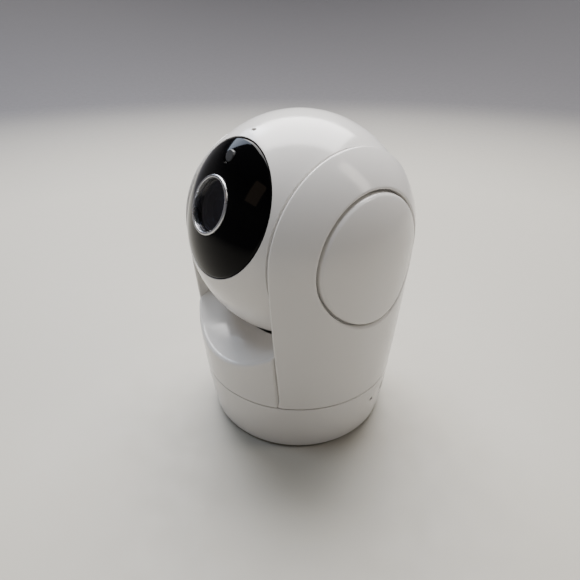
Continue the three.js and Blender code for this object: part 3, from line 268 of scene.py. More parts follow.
def turned_points(profile: np.ndarray, steps: int) -> tuple[np.ndarray, np.ndarray]:
    """A surface of revolution: each [radius, z] goes round z at equal steps.

    Args:
        profile: points that start and end on the axis, or a closed loop off it.
        steps: steps round the axis.

    Returns:
        The points and the quads.
    """
    profile = np.asarray(profile, float)
    on_axis = abs(profile[0, 0]) < 1e-9
    angle = np.arange(steps) * 2 * math.pi / steps
    radius, height = profile[:, 0], profile[:, 1]
    across = radius[None] * np.cos(angle)[:, None], radius[None] * np.sin(angle)[:, None]
    points = np.stack([*across, np.broadcast_to(height, across[0].shape)], axis=-1)
    return points.reshape(-1, 3), grid_quads(steps, len(profile), True, not on_axis)


def turned(name: str, profile: np.ndarray, place: Placement, steps: int = MEDIUM) -> bpy.types.Object:
    """A turned piece in its place."""
    points, quads = turned_points(profile, steps)
    return make_object(name, place.out(points), quads)


def prism(name: str, outline: np.ndarray, z0: float, z1: float, place: Placement) -> bpy.types.Object:
    """A straight-sided piece: two copies of an outline, each closed to its middle.

    Args:
        name: the piece's name.
        outline: points [x, y], star-shaped about their middle.
        z0: level of its underside.
        z1: level of its top.
        place: the frame that the outline is in.

    Returns:
        The new object.
    """
    middle = outline.mean(axis=0, keepdims=True)
    rings = [np.c_[np.repeat(middle, len(outline), 0), np.full(len(outline), z0)]]
    rings += [np.c_[outline, np.full(len(outline), z)] for z in (z0, z1)]
    rings += [np.c_[np.repeat(middle, len(outline), 0), np.full(len(outline), z1)]]
    points = np.stack(rings, axis=1).reshape(-1, 3)
    return make_object(name, place.out(points), grid_quads(len(outline), 4, True, False))


def drill(radius: float, z0: float, mouth: float, flare: float, place: Placement,
          steps: int = COARSE) -> bpy.types.Object:
    """A cutter for a round hole: a cylinder that flares along a quarter circle at the hole's mouth.

    Args:
        radius: the hole's radius.
        z0: level of the hole's bottom.
        mouth: level of its mouth.
        flare: radius that rounds the mouth over.
        place: frame with z along the hole.
        steps: steps round it.

    Returns:
        The cutter.
    """
    curve = np.linspace(0, math.pi / 2, ARC)
    lip = np.c_[radius + flare * (1 - np.cos(curve)), mouth - flare * (1 - np.sin(curve))]
    top = mouth + CLEAR
    profile = [[0, z0], [radius, z0], *lip, [radius + flare, top], [0, top]]
    return turned("cutter", np.array(profile), place, steps)


def cut(target: bpy.types.Object, cutters: Iterable[bpy.types.Object]) -> None:
    """Cuts pieces out of another, one after another, and removes the cutters.

    Args:
        target: the piece to cut.
        cutters: closed pieces to take out of it.
    """
    for cutter in cutters:
        modifier = target.modifiers.new("cut", "BOOLEAN")
        modifier.operation, modifier.object, modifier.solver = "DIFFERENCE", cutter, "EXACT"
        bpy.context.view_layer.update()
        graph = bpy.context.evaluated_depsgraph_get()
        mesh = bpy.data.meshes.new_from_object(target.evaluated_get(graph))
        target.modifiers.clear()
        old, target.data = target.data, mesh
        mesh.name = old.name
        bpy.data.meshes.remove(old)
        bpy.data.meshes.remove(cutter.data)
    finish_mesh(target.data)


def joined(pieces: Sequence[bpy.types.Object]) -> bpy.types.Object:
    """One cutter from several.

    Args:
        pieces: cutters that don't touch each other.

    Returns:
        The cutter that holds them all.
    """
    points, faces, start = [], [], 0
    for one in pieces:
        flat = np.zeros(len(one.data.vertices) * 3)
        one.data.vertices.foreach_get("co", flat)
        points.append(flat.reshape(-1, 3))
        faces += [[start + corner for corner in face.vertices] for face in one.data.polygons]
        start += len(one.data.vertices)
    mesh = bpy.data.meshes.new("cutter")
    mesh.from_pydata(np.concatenate(points), [], faces)
    for one in pieces:
        bpy.data.meshes.remove(one.data)
    made = bpy.data.objects.new("cutter", mesh)
    bpy.context.scene.collection.objects.link(made)
    return made


# ---- Sizes from the frame --------------------------------------------------------------------
def node_points(node: str) -> np.ndarray:
    """Corners of a frame node.

    Args:
        node: its name.

    Returns:
        Their places in millimetres.
    """
    mesh = frame["nodes"][node].data
    flat = np.zeros(len(mesh.vertices) * 3)
    mesh.vertices.foreach_get("co", flat)
    return flat.reshape(-1, 3) / MM


def node_box(node: str, place: Placement | None = None) -> tuple[np.ndarray, np.ndarray]:
    """Box of a frame node.

    Args:
        node: its name.
        place: frame whose directions the box follows; none for the object's own.

    Returns:
        The lowest and the highest corner in millimetres.
    """
    points = node_points(node)
    points = place.back(points) if place else points
    return points.min(axis=0), points.max(axis=0)


def node_middle(node: str) -> np.ndarray:
    """Middle of a frame node's box."""
    low, high = node_box(node)
    return (low + high) / 2


def node_reach(node: str, place: Placement) -> float:
    """How far a node reaches out from a placement's z axis."""
    return float(np.hypot(*place.back(node_points(node))[:, :2].T).max())


def reach_at_end(node: str, top: bool) -> float:
    """How far a node reaches out from the pan axis at one end.

    Args:
        node: its name.
        top: whether to look at its highest level, and not at its lowest.

    Returns:
        The reach in millimetres.
    """
    points = node_points(node)
    level = points[:, 2].max() if top else points[:, 2].min()
    points = points[np.abs(points[:, 2] - level) < 0.01]
    return float(np.hypot(points[:, 0], points[:, 1]).max())


@dataclass(frozen=True)
class YokeForm:
    """Outside of the yoke: it swells from the seam to the tilt axis and closes over as a sphere.

    Attributes:
        shoulder: radius at the tilt axis and of the sphere above it.
        axis_z: level of the tilt axis.
        foot_z: level of the yoke's foot.
        foot_radius: radius there.
        swell: power of the curve from shoulder to foot.
    """

    shoulder: float
    axis_z: float
    foot_z: float
    foot_radius: float
    swell: float = 1.3

    @classmethod
    def from_frame(cls) -> "YokeForm":
        """Reads the form's sizes from the right arm and the tilt joint.

        Returns:
            The form.
        """
        tilt = next(joint for joint in frame["joints"] if joint["name"] == "tilt")
        shoulder = float(node_box("pivot_cap_right")[1][0])
        foot_z = float(node_box("arm_right")[0][2])
        return cls(shoulder, tilt["pos_m"][2] / MM, foot_z, reach_at_end("arm_right", False))

    def radius(self, z: np.ndarray, inset: float = 0.0) -> np.ndarray:
        """Radius at a height: a power curve below the tilt axis, a circle above it.

        Args:
            z: heights.
            inset: how far the surface is set inwards.

        Returns:
            The radii.
        """
        z = np.asarray(z, float)
        below = np.clip((self.axis_z - z) / (self.axis_z - self.foot_z), 0, None)
        low = self.shoulder - (self.shoulder - self.foot_radius) * below**self.swell - inset
        rise = np.clip(z - self.axis_z, 0, None)
        high = np.sqrt(np.clip((self.shoulder - inset) ** 2 - rise**2, 0, None))
        return np.where(z > self.axis_z, high, low)

    def depth(self, z: np.ndarray, aside: np.ndarray, inset: float = 0.0) -> np.ndarray:
        """How far out the surface is at a height and a distance to the side."""
        return np.sqrt(np.clip(self.radius(z, inset) ** 2 - np.asarray(aside) ** 2, 0, None))


WALL = 2.2  # moulded wall
GAP = 0.3  # between pieces that touch
FORM = YokeForm.from_frame()


# ---- Yoke ------------------------------------------------------------------------------------
@dataclass
class Arms:
    """The two arms and their pivot caps, each worked out in rings round the tilt axis.

    Attributes:
        inner_x: x of the face next to the ball.
        cap_radius: radius of the pivot cap.
        floor_z: level of the turntable's top, which the arms stand round.
        groove: width of the groove round the cap.
        groove_edge: radius of the groove's outer edge.
        cap_edge: radius of the cap's edge.
        edge_round: radius of the arch's edge.
        foot_round: radius of the foot's edge.
        face_wall: wall next to the ball.
        shelf: width of the ledge that the cap sits on, inwards and outwards.
        shelf_wall: its thickness.
        lip: width of the foot's lip.
        bush_bore: radius of the hole for the axle's bush.
        turn_over_deg: angle over which the arch's edge turns into the foot's.
    """

    inner_x: float = field(default_factory=lambda: float(node_box("arm_right")[0][0]))
    cap_radius: float = field(default_factory=lambda: node_size("pivot_cap_right", 2) / 2)
    floor_z: float = field(default_factory=lambda: float(node_box("turntable")[1][2]))
    groove: float = 0.85
    groove_edge: float = 0.95
    cap_edge: float = 0.85
    edge_round: float = 0.62
    foot_round: float = 0.3
    face_wall: float = 1.8
    shelf: float = 3.0
    shelf_wall: float = 1.2
    lip: float = 1.9
    bush_bore: float = 9.0
    turn_over_deg: float = 2.5

    def angles(self) -> tuple[np.ndarray, np.ndarray]:
        """Ray angles in the plane of the arm's face, and how near each is to a ray to the foot.

        The two rays to the foot's corners are always in the list, so that they stay crisp.

        Returns:
            The angles from +Y towards +Z, and a weight that is 1 along the foot and 0 elsewhere.
        """
        half = float(FORM.depth(FORM.foot_z, self.inner_x))
        corner = math.atan2(FORM.axis_z - FORM.foot_z, half)
        rest = np.linspace(-corner, math.pi + corner, FINE, endpoint=False)
        near = np.radians(np.linspace(0, 4, 9))
        along = np.linspace(math.pi + corner + 0.1, 2 * math.pi - corner - 0.1, 48)
        foot = np.concatenate([math.pi + corner + near, along, 2 * math.pi - corner - near[:0:-1]])
        angle = np.unique(np.round(np.concatenate([rest, foot]), 9))
        inside = np.minimum(angle - (math.pi + corner), 2 * math.pi - corner - angle)
        return angle, np.clip(0.5 + inside / math.radians(self.turn_over_deg), 0, 1)

    def edge(self, angle: np.ndarray, x: float, inset: float, floor: float) -> np.ndarray:
        """How far along each ray the skin meets a plane or the floor, found by halving.

        Args:
            angle: angle of each ray.
            x: where the plane stands.
            inset: how far the skin is set inwards.
            floor: level of the floor.

        Returns:
            The distance along each ray.
        """
        low, high = np.zeros_like(angle), np.full_like(angle, 2 * FORM.axis_z)
        for _ in range(HALVINGS):
            mid = (low + high) / 2
            y, z = mid * np.cos(angle), FORM.axis_z + mid * np.sin(angle)
            inside = (np.abs(y) < FORM.radius(z, inset)) & (FORM.depth(z, y, inset) > x) & (z > floor)
            low, high = np.where(inside, mid, low), np.where(inside, high, mid)
        return low

    def skin(self, along: np.ndarray, angle: np.ndarray, inset: float) -> np.ndarray:
        """Places on the outer skin, set in by an amount: x is the form's depth at y and z."""
        y, z = along * np.cos(angle), FORM.axis_z + along * np.sin(angle)
        return np.stack([FORM.depth(z, y, inset), y, z], axis=-1)

    def shell(self) -> tuple[np.ndarray, np.ndarray]:
        """Arm: a closed wall section carried round the tilt axis, ray by ray.

        Returns:
            The points and the quads of the arm on the +X side.
        """
        angle, foot = self.angles()
        ray = angle[:, None]
        hole = self.cap_radius + self.groove
        edge = self.edge(angle, self.inner_x, 0.0, FORM.foot_z)[:, None]
        floor_z = self.floor_z + GAP + self.face_wall
        inner = self.edge(angle, self.inner_x + self.face_wall, WALL, floor_z)[:, None]
        sine = np.minimum(np.sin(ray), -1e-6)
        floor = np.minimum(edge, (FORM.axis_z - self.floor_z - GAP) / -sine)
        tip = self.skin(edge, ray, 0.0)[..., 0]
        width = np.minimum(self.lip, tip - self.inner_x)
        weight = foot[:, None]
        radius = self.edge_round * (1 - weight) + self.foot_round * weight
        radius = np.minimum(radius, 0.12 + 0.4 * (tip - self.inner_x) + 3.0 * (1 - weight) ** 2)
        outer, bevel = self.outer_rings(ray, edge, tip, radius, weight, hole)
        ends = np.hypot(bevel[:, -1:, 1], bevel[:, -1:, 2] - FORM.axis_z)

        def at(along: np.ndarray, x: np.ndarray) -> np.ndarray:
            """Places on the rays.

            Args:
                along: distance along each ray.
                x: x of each place.

            Returns:
                The places.
            """
            along = np.broadcast_to(along, edge.shape)
            y, z = along * np.cos(ray), FORM.axis_z + along * np.sin(ray)
            return np.stack([np.broadcast_to(x, edge.shape), y, z], axis=-1)

        share = np.linspace(0, 1, 14)[None]
        floor = np.minimum(floor, ends)
        ring = [outer, bevel]
        ring += [at(ends, tip - width), at(floor, tip - width), at(floor, self.inner_x)]
        ring += [at(self.bush_bore, self.inner_x), at(self.bush_bore, self.inner_x + self.face_wall)]
        ring += [at(inner, self.inner_x + self.face_wall)]
        ring += [self.skin(inner + (hole + self.shelf - inner) * share, ray, WALL)]
        under, top = WALL + GAP + self.shelf_wall, WALL + GAP
        ring += [self.skin(hole + self.shelf * (1 - 2 * share[:, ::3]), ray, under)]
        ring += [self.skin(hole - self.shelf * (1 - share[:, ::3]), ray, top)]
        points = np.concatenate(ring, axis=1)
        return points.reshape(-1, 3), grid_quads(*points.shape[:2], True, True)

    def outer_rings(self, ray: np.ndarray, edge: np.ndarray, tip: np.ndarray, radius: np.ndarray,
                    weight: np.ndarray, hole: float) -> tuple[np.ndarray, np.ndarray]:
        """The groove's rounded edge with the outer skin, and the rounded edge by the ball.

        The second is an arc that touches the skin and the face next to the ball, ray by ray.

        Args:
            ray: angle of each ray.
            edge: distance along each ray to the sharp edge.
            tip: x of that edge.
            radius: radius that rounds it.
            weight: 1 where the edge is the foot, 0 where it is the arch.
            hole: radius of the cap's hole.

        Returns:
            The points of both stretches.
        """
        curve = np.linspace(0, math.pi / 2, ARC)[None]
        round_in = self.groove_edge
        lift = self.skin(hole + round_in * (1 - np.cos(curve)), ray, 0.0)
        lift[..., 0] -= round_in * (1 - np.sin(curve))
        back = 0.05
        slope = (self.skin(edge - back, ray, 0.0)[..., 0] - tip) / back
        along = np.stack([-np.ones_like(slope), slope], -1) / np.hypot(1, slope)[..., None]
        arch, foot = np.array([-1.0, 0.0]), np.array([0.0, -1.0])
        away = arch * (1 - weight[..., None]) + foot * weight[..., None]
        away = away / np.linalg.norm(away, axis=-1, keepdims=True)
        half = np.arccos(np.clip((along * away).sum(-1), -0.999, 0.999)) / 2
        reach = radius / np.tan(half)
        middle = (along + away) / np.linalg.norm(along + away, axis=-1, keepdims=True)
        middle = middle * (radius / np.sin(half))[..., None]
        start, end = along * reach[..., None] - middle, away * reach[..., None] - middle
        turn = (math.pi - 2 * half)[..., None]
        share = np.linspace(0, 1, ARC + 1)[None, :, None]
        arc = (np.sin((1 - share) * turn) * start + np.sin(share * turn) * end) / np.sin(turn) + middle
        begin = edge + along[..., :1].reshape(edge.shape) * reach
        share = np.linspace(0, 1, 44)[None, 1:]
        first = hole + round_in
        skin = self.skin(first + (begin - first) * share, ray, 0.0)
        drop = skin[:, -1:, 0] - (tip + (along[..., 1:].reshape(edge.shape) * reach))
        ease = np.linspace(1, 0, ARC + 1)[None]
        s, x = edge + arc[..., 0], np.maximum(tip + arc[..., 1] + drop * ease, self.inner_x)
        bevel = np.stack([x, s * np.cos(ray), FORM.axis_z + s * np.sin(ray)], axis=-1)
        return np.concatenate([lift, skin], axis=1), bevel[:, 1:]

    def cap(self) -> tuple[np.ndarray, np.ndarray]:
        """Cap: a disc of the arm's own skin with a rounded edge, in rings from the middle out.

        Returns:
            The points and the quads of the cap on the +X side.
        """
        ray = (np.arange(FINE) * 2 * math.pi / FINE)[:, None]
        top = np.linspace(0, self.cap_radius - self.cap_edge, 30)[None]
        curve = np.linspace(0, math.pi / 2, ARC)[None, 1:]
        round_over = self.cap_radius - self.cap_edge * (1 - np.sin(curve))
        lip = self.skin(round_over, ray, 0.0)
        lip[..., 0] -= self.cap_edge * (1 - np.cos(curve))
        under = np.linspace(self.cap_radius, 0, 12)[None]
        points = np.concatenate([self.skin(top, ray, 0.0), lip, self.skin(under, ray, WALL)], axis=1)
        return points.reshape(-1, 3), grid_quads(*points.shape[:2], True, False)

    def build(self) -> None:
        """Makes both arms and both caps."""
        for side, sign in (("right", 1.0), ("left", -1.0)):
            flip = np.array([sign, 1.0, 1.0])
            for stem, (points, quads) in (("arm", self.shell()), ("pivot_cap", self.cap())):
                made = make_object(f"{stem}_{side}_skin", points * flip, quads)
                add_piece(made, "yoke", "white_abs", f"{stem}_{side}")


def node_size(node: str, axis: int) -> float:
    """Size of a frame node along one axis."""
    low, high = node_box(node)
    return float(high[axis] - low[axis])


def add_piece(made: bpy.types.Object, body: str, slot: str, *nodes: str) -> None:
    """Lets a piece ride on a body, stand for frame nodes and take a slot's finish.

    Args:
        made: the piece.
        body: the body it rides on.
        slot: the material slot, or a finish's own name where the record has no such slot.
        nodes: the frame nodes it stands for.
    """
    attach(made, body)
    if nodes:
        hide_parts(*nodes)
    FINISHES[slot].dress(made, slot)
    log.info("%s: %d faces on %s", made.name, len(made.data.polygons), body)


def side_loft(name: str, loop: Callable[[np.ndarray], np.ndarray], half: float, edge: float,
              steps: int) -> bpy.types.Object:
    """A piece whose closed wall section is carried from side to side, with rounded side edges.

    Args:
        name: the piece's name.
        loop: gives the section's points [y, z] at each x, as an array [x, point, 2].
        half: half of the piece's width.
        edge: radius of the rounded side edges.
        steps: steps across the width.

    Returns:
        The new object.
    """
    curve = np.linspace(0, math.pi / 2, 5)
    fade = edge * (1 - np.sin(curve))
    shrink = np.concatenate([fade, np.zeros(steps - 1), fade[::-1]])
    flat = half - edge
    across = np.linspace(-flat, flat, steps + 1)[1:-1]
    x = np.concatenate([-flat - edge * np.cos(curve), across, (flat + edge * np.cos(curve))[::-1]])
    section = loop(x)
    ahead, behind = np.roll(section, -1, axis=1), np.roll(section, 1, axis=1)
    run = ahead - behind
    normal = np.stack([run[..., 1], -run[..., 0]], -1)
    normal /= np.maximum(np.linalg.norm(normal, axis=-1, keepdims=True), 1e-9)
    area = 0.5 * (section[..., 0] * ahead[..., 1] - ahead[..., 0] * section[..., 1]).sum(axis=1)
    section = section - normal * np.sign(area)[:, None, None] * shrink[:, None, None]
    points = np.concatenate([np.broadcast_to(x[:, None, None], (*section.shape[:2], 1)), section], -1)
    quads = grid_quads(*points.shape[:2], False, True)
    return close_ends(name, points, quads)


def close_ends(name: str, points: np.ndarray, quads: np.ndarray) -> bpy.types.Object:
    """Closes the two ends of a lofted wall section with strips across the wall.

    The section runs out along one face of the wall and back along the other, so the point a
    given number of steps from its start faces the point as many steps from its end.

    Args:
        name: the piece's name.
        points: the section's points [x, point, 3].
        quads: the quads between the sections.

    Returns:
        The new object.
    """
    rows, cols = points.shape[:2]
    near = np.arange((cols - 1) // 2)
    strips = []
    for row in (0, rows - 1):
        base = row * cols
        far = base + cols - 1 - near
        strips.append(np.stack([base + near, base + near + 1, far - 1, far], 1))
    strips[1] = strips[1][:, ::-1]
    return make_object(name, points.reshape(-1, 3), np.concatenate([quads, *strips]))


def eased(before: np.ndarray, corner: np.ndarray, after: np.ndarray, steps: int) -> np.ndarray:
    """Rounds a corner at each x with a parabola that touches both of its sides.

    Args:
        before: points [x, 2] where the rounding starts.
        corner: the sharp corners.
        after: points where it ends.
        steps: steps along it.

    Returns:
        The points [x, step, 2].
    """
    t = np.linspace(0, 1, steps + 1)[None, :, None]
    before, corner, after = before[:, None], corner[:, None], after[:, None]
    return (1 - t) ** 2 * before + 2 * t * (1 - t) * corner + t**2 * after


@dataclass
class Covers:
    """Front and rear covers between the arms: the front one is scooped out, the rear one is plain.

    Attributes:
        half: half of their width.
        back_y: how far back the scoop's own solid goes.
        rear_top: level of the rear cover's top.
        room: radius of the room that the ball turns in.
        rim_z: level of the scoop's rim in the middle.
        across: radius of the scoop from side to side.
        along: radius of its rise towards the back.
        side_edge: radius of the edges next to the arms.
        rim_round: how far the rim is rounded.
        lip_round: how far the rear cover's top is rounded.
        hole: radius of the speaker's holes.
        hole_flare: radius of their mouths.
        hole_bottom: depth at which their cutters start.
        hole_steps: steps round each.
        pitch: distance from hole to hole.
        steps: steps from side to side.
    """

    half: float = field(default_factory=lambda: float(node_box("front_cover")[1][0]))
    back_y: float = field(default_factory=lambda: float(node_box("front_cover")[1][1]))
    rear_top: float = field(default_factory=lambda: float(node_box("rear_cover")[1][2]))
    room: float = 41.95
    rim_z: float = 37.6
    across: float = 46.0
    along: float = 31.0
    side_edge: float = 0.32
    rim_round: float = 1.7
    lip_round: float = 1.1
    hole: float = 0.8
    hole_flare: float = 0.22
    hole_bottom: float = 32.0
    hole_steps: int = 24
    pitch: float = 3.2
    steps: int = 72

    def scoop(self, x: np.ndarray, y: np.ndarray) -> np.ndarray:
        """Height of the scoop: a circle across, on a second circle that rises towards the back.

        Args:
            x: places across.
            y: places from front to back.

        Returns:
            The heights.
        """
        rim_y = -FORM.radius(self.rim_z)
        rise = self.along - np.sqrt(np.clip(self.along**2 - (y - rim_y) ** 2, 0, None))
        drop = np.sqrt(np.clip((self.across - rise) ** 2 - x**2, 0, None))
        return self.rim_z + self.across - drop

    def back_edge(self, x: np.ndarray) -> np.ndarray:
        """Where the scoop runs into the ball's room, found by halving.

        Args:
            x: places across.

        Returns:
            How far back the scoop goes at each.
        """
        low, high = np.full_like(x, self.back_y), np.full_like(x, self.back_y + 8)
        for _ in range(HALVINGS):
            y = (low + high) / 2
            ball = FORM.axis_z - np.sqrt(np.clip(self.room**2 - x**2 - y**2, 0, None))
            outside = self.scoop(x, y) < ball
            low, high = np.where(outside, y, low), np.where(outside, high, y)
        return low

    def front(self, x: np.ndarray) -> np.ndarray:
        """Front cover's section: up the outside, over the rim, along the scoop and back inside.

        The rim's level is where the scoop meets the outside, found by putting each into the other.

        Args:
            x: places across.

        Returns:
            The section's points [x, point, 2].
        """
        column = x[:, None]
        rim = np.full_like(column, self.rim_z)
        for _ in range(30):
            rim = self.scoop(column, -FORM.depth(rim, column))
        inner_rim = rim - WALL
        back_y = self.back_edge(column)
        share = np.linspace(0, 1, 26)[None]
        low = FORM.foot_z + (rim - self.rim_round - FORM.foot_z) * share
        wall = np.stack([-FORM.depth(low, column), low], -1)
        edge_y = -FORM.depth(rim, column)
        back = edge_y + self.rim_round + (back_y - edge_y - self.rim_round) * share
        bowl = np.stack([back, self.scoop(column, back)], -1)
        corner = np.concatenate([edge_y, rim], -1)
        brim = eased(wall[:, -1], corner, bowl[:, 0], ARC)[:, 1:-1]
        low = FORM.foot_z + (inner_rim - self.rim_round - FORM.foot_z) * share
        wall_in = np.stack([-FORM.depth(low, column, WALL), low], -1)
        edge_y = -FORM.depth(inner_rim, column, WALL)
        back = edge_y + self.rim_round + (back_y - edge_y - self.rim_round) * share
        bowl_in = np.stack([back, self.scoop(column, back) - WALL], -1)
        corner = np.concatenate([edge_y, inner_rim], -1)
        brim_in = eased(wall_in[:, -1], corner, bowl_in[:, 0], ARC)[:, 1:-1]
        inside = np.concatenate([wall_in, brim_in, bowl_in], axis=1)[:, ::-1]
        return np.concatenate([wall, brim, bowl, inside], axis=1)

    def rear(self, x: np.ndarray) -> np.ndarray:
        """Rear cover's section: up the outside, over the lip to the ball's room and down the inside.

        Args:
            x: places across.

        Returns:
            The section's points [x, point, 2].
        """
        column = x[:, None]
        top = np.full_like(column, self.rear_top)
        share = np.linspace(0, 1, 30)[None]
        low = FORM.foot_z + (top - self.lip_round - FORM.foot_z) * share
        wall = np.stack([FORM.depth(low, column), low], -1)
        edge_y = FORM.depth(top, column)

        def room(z: np.ndarray) -> np.ndarray:
            """How far back the ball's room reaches at a height."""
            return np.sqrt(self.room**2 - (z - FORM.axis_z) ** 2 - column**2)

        inner_y = room(top)
        across = edge_y - self.lip_round + (inner_y - edge_y + self.lip_round) * share[:, ::5]
        flat = np.stack([across, np.broadcast_to(top, across.shape)], -1)
        corner = np.concatenate([edge_y, top], -1)
        lip = eased(wall[:, -1], corner, flat[:, 0], ARC)[:, 1:-1]
        under = top - WALL
        inner_top = FORM.depth(under, column, WALL)
        steps = lip.shape[1] + flat.shape[1]
        below = np.linspace(0, 1, steps)[None, ::-1]
        ledge_y = room(under) + (inner_top - room(under)) * (1 - below)
        ledge = np.stack([ledge_y, np.broadcast_to(under, ledge_y.shape)], -1)
        down = under + (FORM.foot_z - under) * share
        wall_in = np.stack([FORM.depth(down, column, WALL), down], -1)
        return np.concatenate([wall, lip, flat, ledge, wall_in], axis=1)

    def grille(self) -> bpy.types.Object:
        """Cutter for the speaker's holes: a hexagon of round holes with rounded mouths.

        Returns:
            The cutter.
        """
        middle = node_middle("speaker")
        step = np.arange(-2, 3)
        a, b = (part.ravel() for part in np.meshgrid(step, step))
        keep = np.abs(a + b) <= 2
        x, z = (a + b / 2)[keep] * self.pitch, (b * math.sqrt(0.75))[keep] * self.pitch + middle[2]
        place = Placement(np.zeros(3), unit(-1, 0, 0), unit(0, 0, 1), unit(0, 1, 0))
        mouths = FORM.depth(z, x)
        places = [place.moved(-c, d) for c, d in zip(x, z)]
        return joined([drill(self.hole, self.hole_bottom, mouth, self.hole_flare, at, self.hole_steps)
                       for at, mouth in zip(places, mouths)])

    def build(self) -> None:
        """Makes both covers."""
        front = side_loft("front_cover_skin", self.front, self.half, self.side_edge, self.steps)
        add_piece(front, "yoke", "white_abs", "front_cover")
        rear = side_loft("rear_cover_skin", self.rear, self.half, self.side_edge, self.steps)
        cut(rear, [self.grille()])
        add_piece(rear, "yoke", "white_abs", "rear_cover")


# ---- Head ------------------------------------------------------------------------------------
def head_place() -> Placement:
    """Frame of the head: z runs from the tilt axis to the lens ring's middle.

    Returns:
        The frame, with its origin on the tilt axis, z along the lens and y up the face.
    """
    tilt = next(joint for joint in frame["joints"] if joint["name"] == "tilt")
    origin = np.array(tilt["pos_m"]) / MM
    ahead = node_points("lens_ring").mean(axis=0) - origin
    return facing(unit(0, ahead[1], ahead[2]), origin)


HEAD = head_place()


